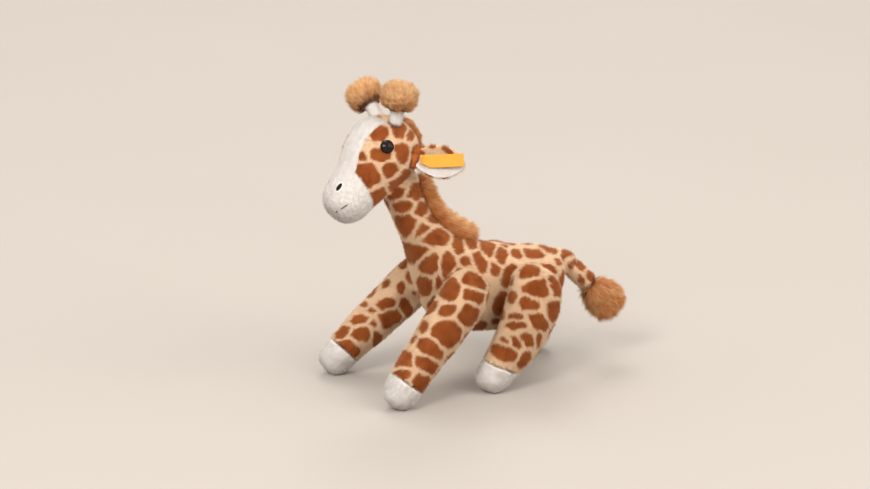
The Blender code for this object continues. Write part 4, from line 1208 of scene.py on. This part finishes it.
def label():
    """The bare woven label: a thin strip that curls a little, stitched down at its inner end."""
    points = corners(NODES["ear_label"].data)
    middle = points.mean(axis=0)
    axes = np.linalg.svd(points - middle, full_matrices=False)[2]
    along = axes[0] * np.sign(axes[0] @ (middle - PIVOTS["label_flap"]))
    out = axes[2] * np.sign(axes[2] @ np.array((0.0, -1.0, 0.0)))
    across = np.cross(out, along)
    length, height = LABEL_SIZE
    start = middle - along * length / 2
    columns, lines = LABEL_GRID
    shares = [(column / columns, row / lines) for row in range(lines + 1) for column in range(columns + 1)]
    grid = []
    for u, up in shares:
        v = up - 0.5
        v += LABEL_CUT * (0.5 - v) * max(0, 1 - u / LABEL_CUT_REACH)
        curl = LABEL_CURL * (u**2 - 0.5 * math.sin(math.pi * u) + 0.5 * math.sin(2.2 * math.pi * u) * v)
        grid.append(start + along * length * u + across * height * v + out * curl)
    grid = np.array(grid)
    half = out * LABEL_THICKNESS / 2
    count = len(grid)
    index = np.arange(count).reshape(lines + 1, columns + 1)
    squares = (index[:-1, :-1], index[:-1, 1:], index[1:, 1:], index[1:, :-1])
    faces = []
    for a, b, c, d in zip(*(corner.ravel() for corner in squares)):
        faces += [(a, b, c, d), (count + a, count + d, count + c, count + b)]
    border = [*index[0, :-1], *index[:-1, -1], *index[-1, :0:-1], *index[:0:-1, 0]]
    for here, following in zip(border, border[1:] + border[:1]):
        faces.append((here, count + here, count + following, following))
    strip = surface_of("woven_label", np.concatenate((grid + half, grid - half)).tolist(), faces, LABEL)
    ribs = np.array(shares * 2) * (length, height) / MM
    paint(strip.data, ribs[:, 0], ribs[:, 1], 0.5)
    paths = []
    for stitch in range(LABEL_STITCHES):
        v = 0.5 - (1 - LABEL_CUT) * (stitch + 0.5) / LABEL_STITCHES
        first = start + along * 1.1 * MM + across * height * 0.9 * v + out * 0.35 * MM
        last = first + along * 1.5 * MM + across * 0.25 * MM
        bow = np.array([math.sin(math.pi * t) for t in np.linspace(0, 1, 7)])[:, None] * out * 0.25 * MM
        paths.append(refined(np.array((first, last)), 7) + bow)
    stitches = threads("label_stitches", paths, LABEL_STITCH, LABEL_THREAD, 6)
    finish_piece(strip, "label", ("ear_label",))
    finish_piece(stitches, "label")


def long_hairs(name, mesh, body_name, node, nap, length, density, seed, bend, lean, depth_of, stray):
    """A tuft, mane or tassel: a soft core, and long curved hairs. depth_of says how deep its colour is."""
    # On a mane, depth_of carries painted shade and painted light into the core and the hairs.
    skin(f"core_{name}", mesh, LONG_FUR, lambda places: depth_of(places) * 0.6 + 0.4, body_name, (node,))
    roots, normals, _ = scatter(mesh, density, seed)
    directions = comb(normals, nap(roots), lean, roots, seed, stray)
    random = np.random.default_rng(seed)
    lengths = length * (0.7 + 0.5 * random.random(len(roots)))
    locks = 0.2 * ripple(roots, LOCK_SIZE, seed + 3) + 0.14 * random.normal(size=len(roots))
    tones = np.clip(depth_of(roots) + locks, 0, 1)
    bent = np.tile(np.array(bend), (len(roots), 1)) * lengths[:, None]
    fur = hairs(f"fur_{name}", roots, normals, directions, lengths, FUR_WIDTH, tones, LONG_FUR, 2, bent)
    finish_piece(fur, body_name)


def horn(side, seed):
    """One horn: a white stalk and a fur tuft on its end, combed up from the stalk."""
    body_name, node, tuft_node = f"{side}_horn", f"horn_{side}", f"horn_tuft_{side}"
    tuft_middle = box_middle(tuft_node)
    axis = unit(tuft_middle - PIVOTS[f"horn_bend_{side}"])
    mesh = form((node,), voxel=0.8 * MM, depth=0.5 * MM, smoothing=2)
    plush(node, mesh, WHITE_PLUSH, plain, body_name, (node,), steady(axis), HORN_LENGTH, seed)
    tuft = form((tuft_node,), voxel=1.0 * MM, depth=FUR_DEPTH, smoothing=3)
    fan = away_from(tuft_middle - axis * HORN_FAN)

    def depth_of(places):
        """Deeper low down, by the stalk."""
        return 0.42 - 0.026 * ((places - tuft_middle) @ axis) / MM

    long_hairs(
        f"tuft_{side}", tuft, body_name, tuft_node, fan, 7.0 * MM, 10e6, seed + 1, axis * 0.22, 1.0,
        depth_of, 0.22,
    )


def mane(node, body_name, seed, depth, length, along, bend, neighbours):
    """A strip of long fur on the neck or the head."""
    mesh = form((node,), neighbours, voxel=1.0 * MM, depth=depth)
    sewn_to = tree_of(neighbours)

    def depth_of(places):
        """Deeper by the skin that it is sewn to, paler away from it: painted shade and painted light."""
        # Painted shade by the skin, painted light further out.
        return 1.05 - distances(sewn_to, places) / (12 * MM)

    long_hairs(node, mesh, body_name, node, steady(along), length, 9e6, seed, bend, 0.7, depth_of, 0.4)


def tail():
    """The tail and its tassel."""
    own = ("tail_skin", "tail_stuffing")
    mesh = form(own, voxel=1.2 * MM, smoothing=7)
    found = spots_of(mesh, TAIL_SPOTS, 81, SPOT_SIZES[2:])
    along = unit(np.array((0.717, 0.0, -0.697)))

    def tones(places):
        return brownness(places, found, 91)

    def out_of_sleeve(roots):
        return np.linalg.norm(roots - PIVOTS["tail_lift"], axis=1) > TAIL_SLEEVE[0][1]

    plush("tail", mesh, SPOTTED, tones, "tail", own, steady(along), PLUSH_LENGTH, 93, out_of_sleeve)
    tassel = form(("tail_tassel",), voxel=1.1 * MM, depth=FUR_DEPTH)
    fan = away_from(box_middle("tail_tassel") - along * TASSEL_FAN)
    long_hairs(
        "tassel", tassel, "tail", "tail_tassel", fan, 9 * MM, 9e6, 95, (0.0, 0.0, -0.2), 1.0,
        lambda places: np.full(len(places), 0.75), 0.28,
    )


def fittings():
    """The small parts that stay as the CAD has them, with their own finish."""
    finishes = {
        "eye_left": EYE, "eye_right": EYE, "eye_washer_left": WASHER, "eye_washer_right": WASHER,
        "ear_label_tack": LABEL_THREAD,
    }
    for node, material in finishes.items():
        mesh = NODES[node].data
        if not mesh.materials:
            mesh.materials.append(material)
        for slot in NODES[node].material_slots:
            slot.link = "OBJECT"
            slot.material = material


body()
leg("front_left", NEAR_FRONT_SPOTS, 100)
leg("front_right", FAR_FRONT_SPOTS, 120)
leg("hind_left", NEAR_HIND_SPOTS, 140)
leg("hind_right", (), 160)
head()
filling("neck_core", "neck_core", ("neck_core_stuffing",), 0.4 * MM)
ear("left", 200)
ear("right", 220)
label()
horn("left", 240)
horn("right", 260)
mane("neck_mane", "torso", 280, 2.2 * MM, 8.2 * MM, (0.7, 0, -0.25), (0.1, 0.0, -0.12), TORSO)
mane("head_mane", "head", 300, 1.8 * MM, 5.0 * MM, (0.6, 0, -0.6), (0.1, 0.0, -0.2), HEAD_SKINS)
tail()
fittings()
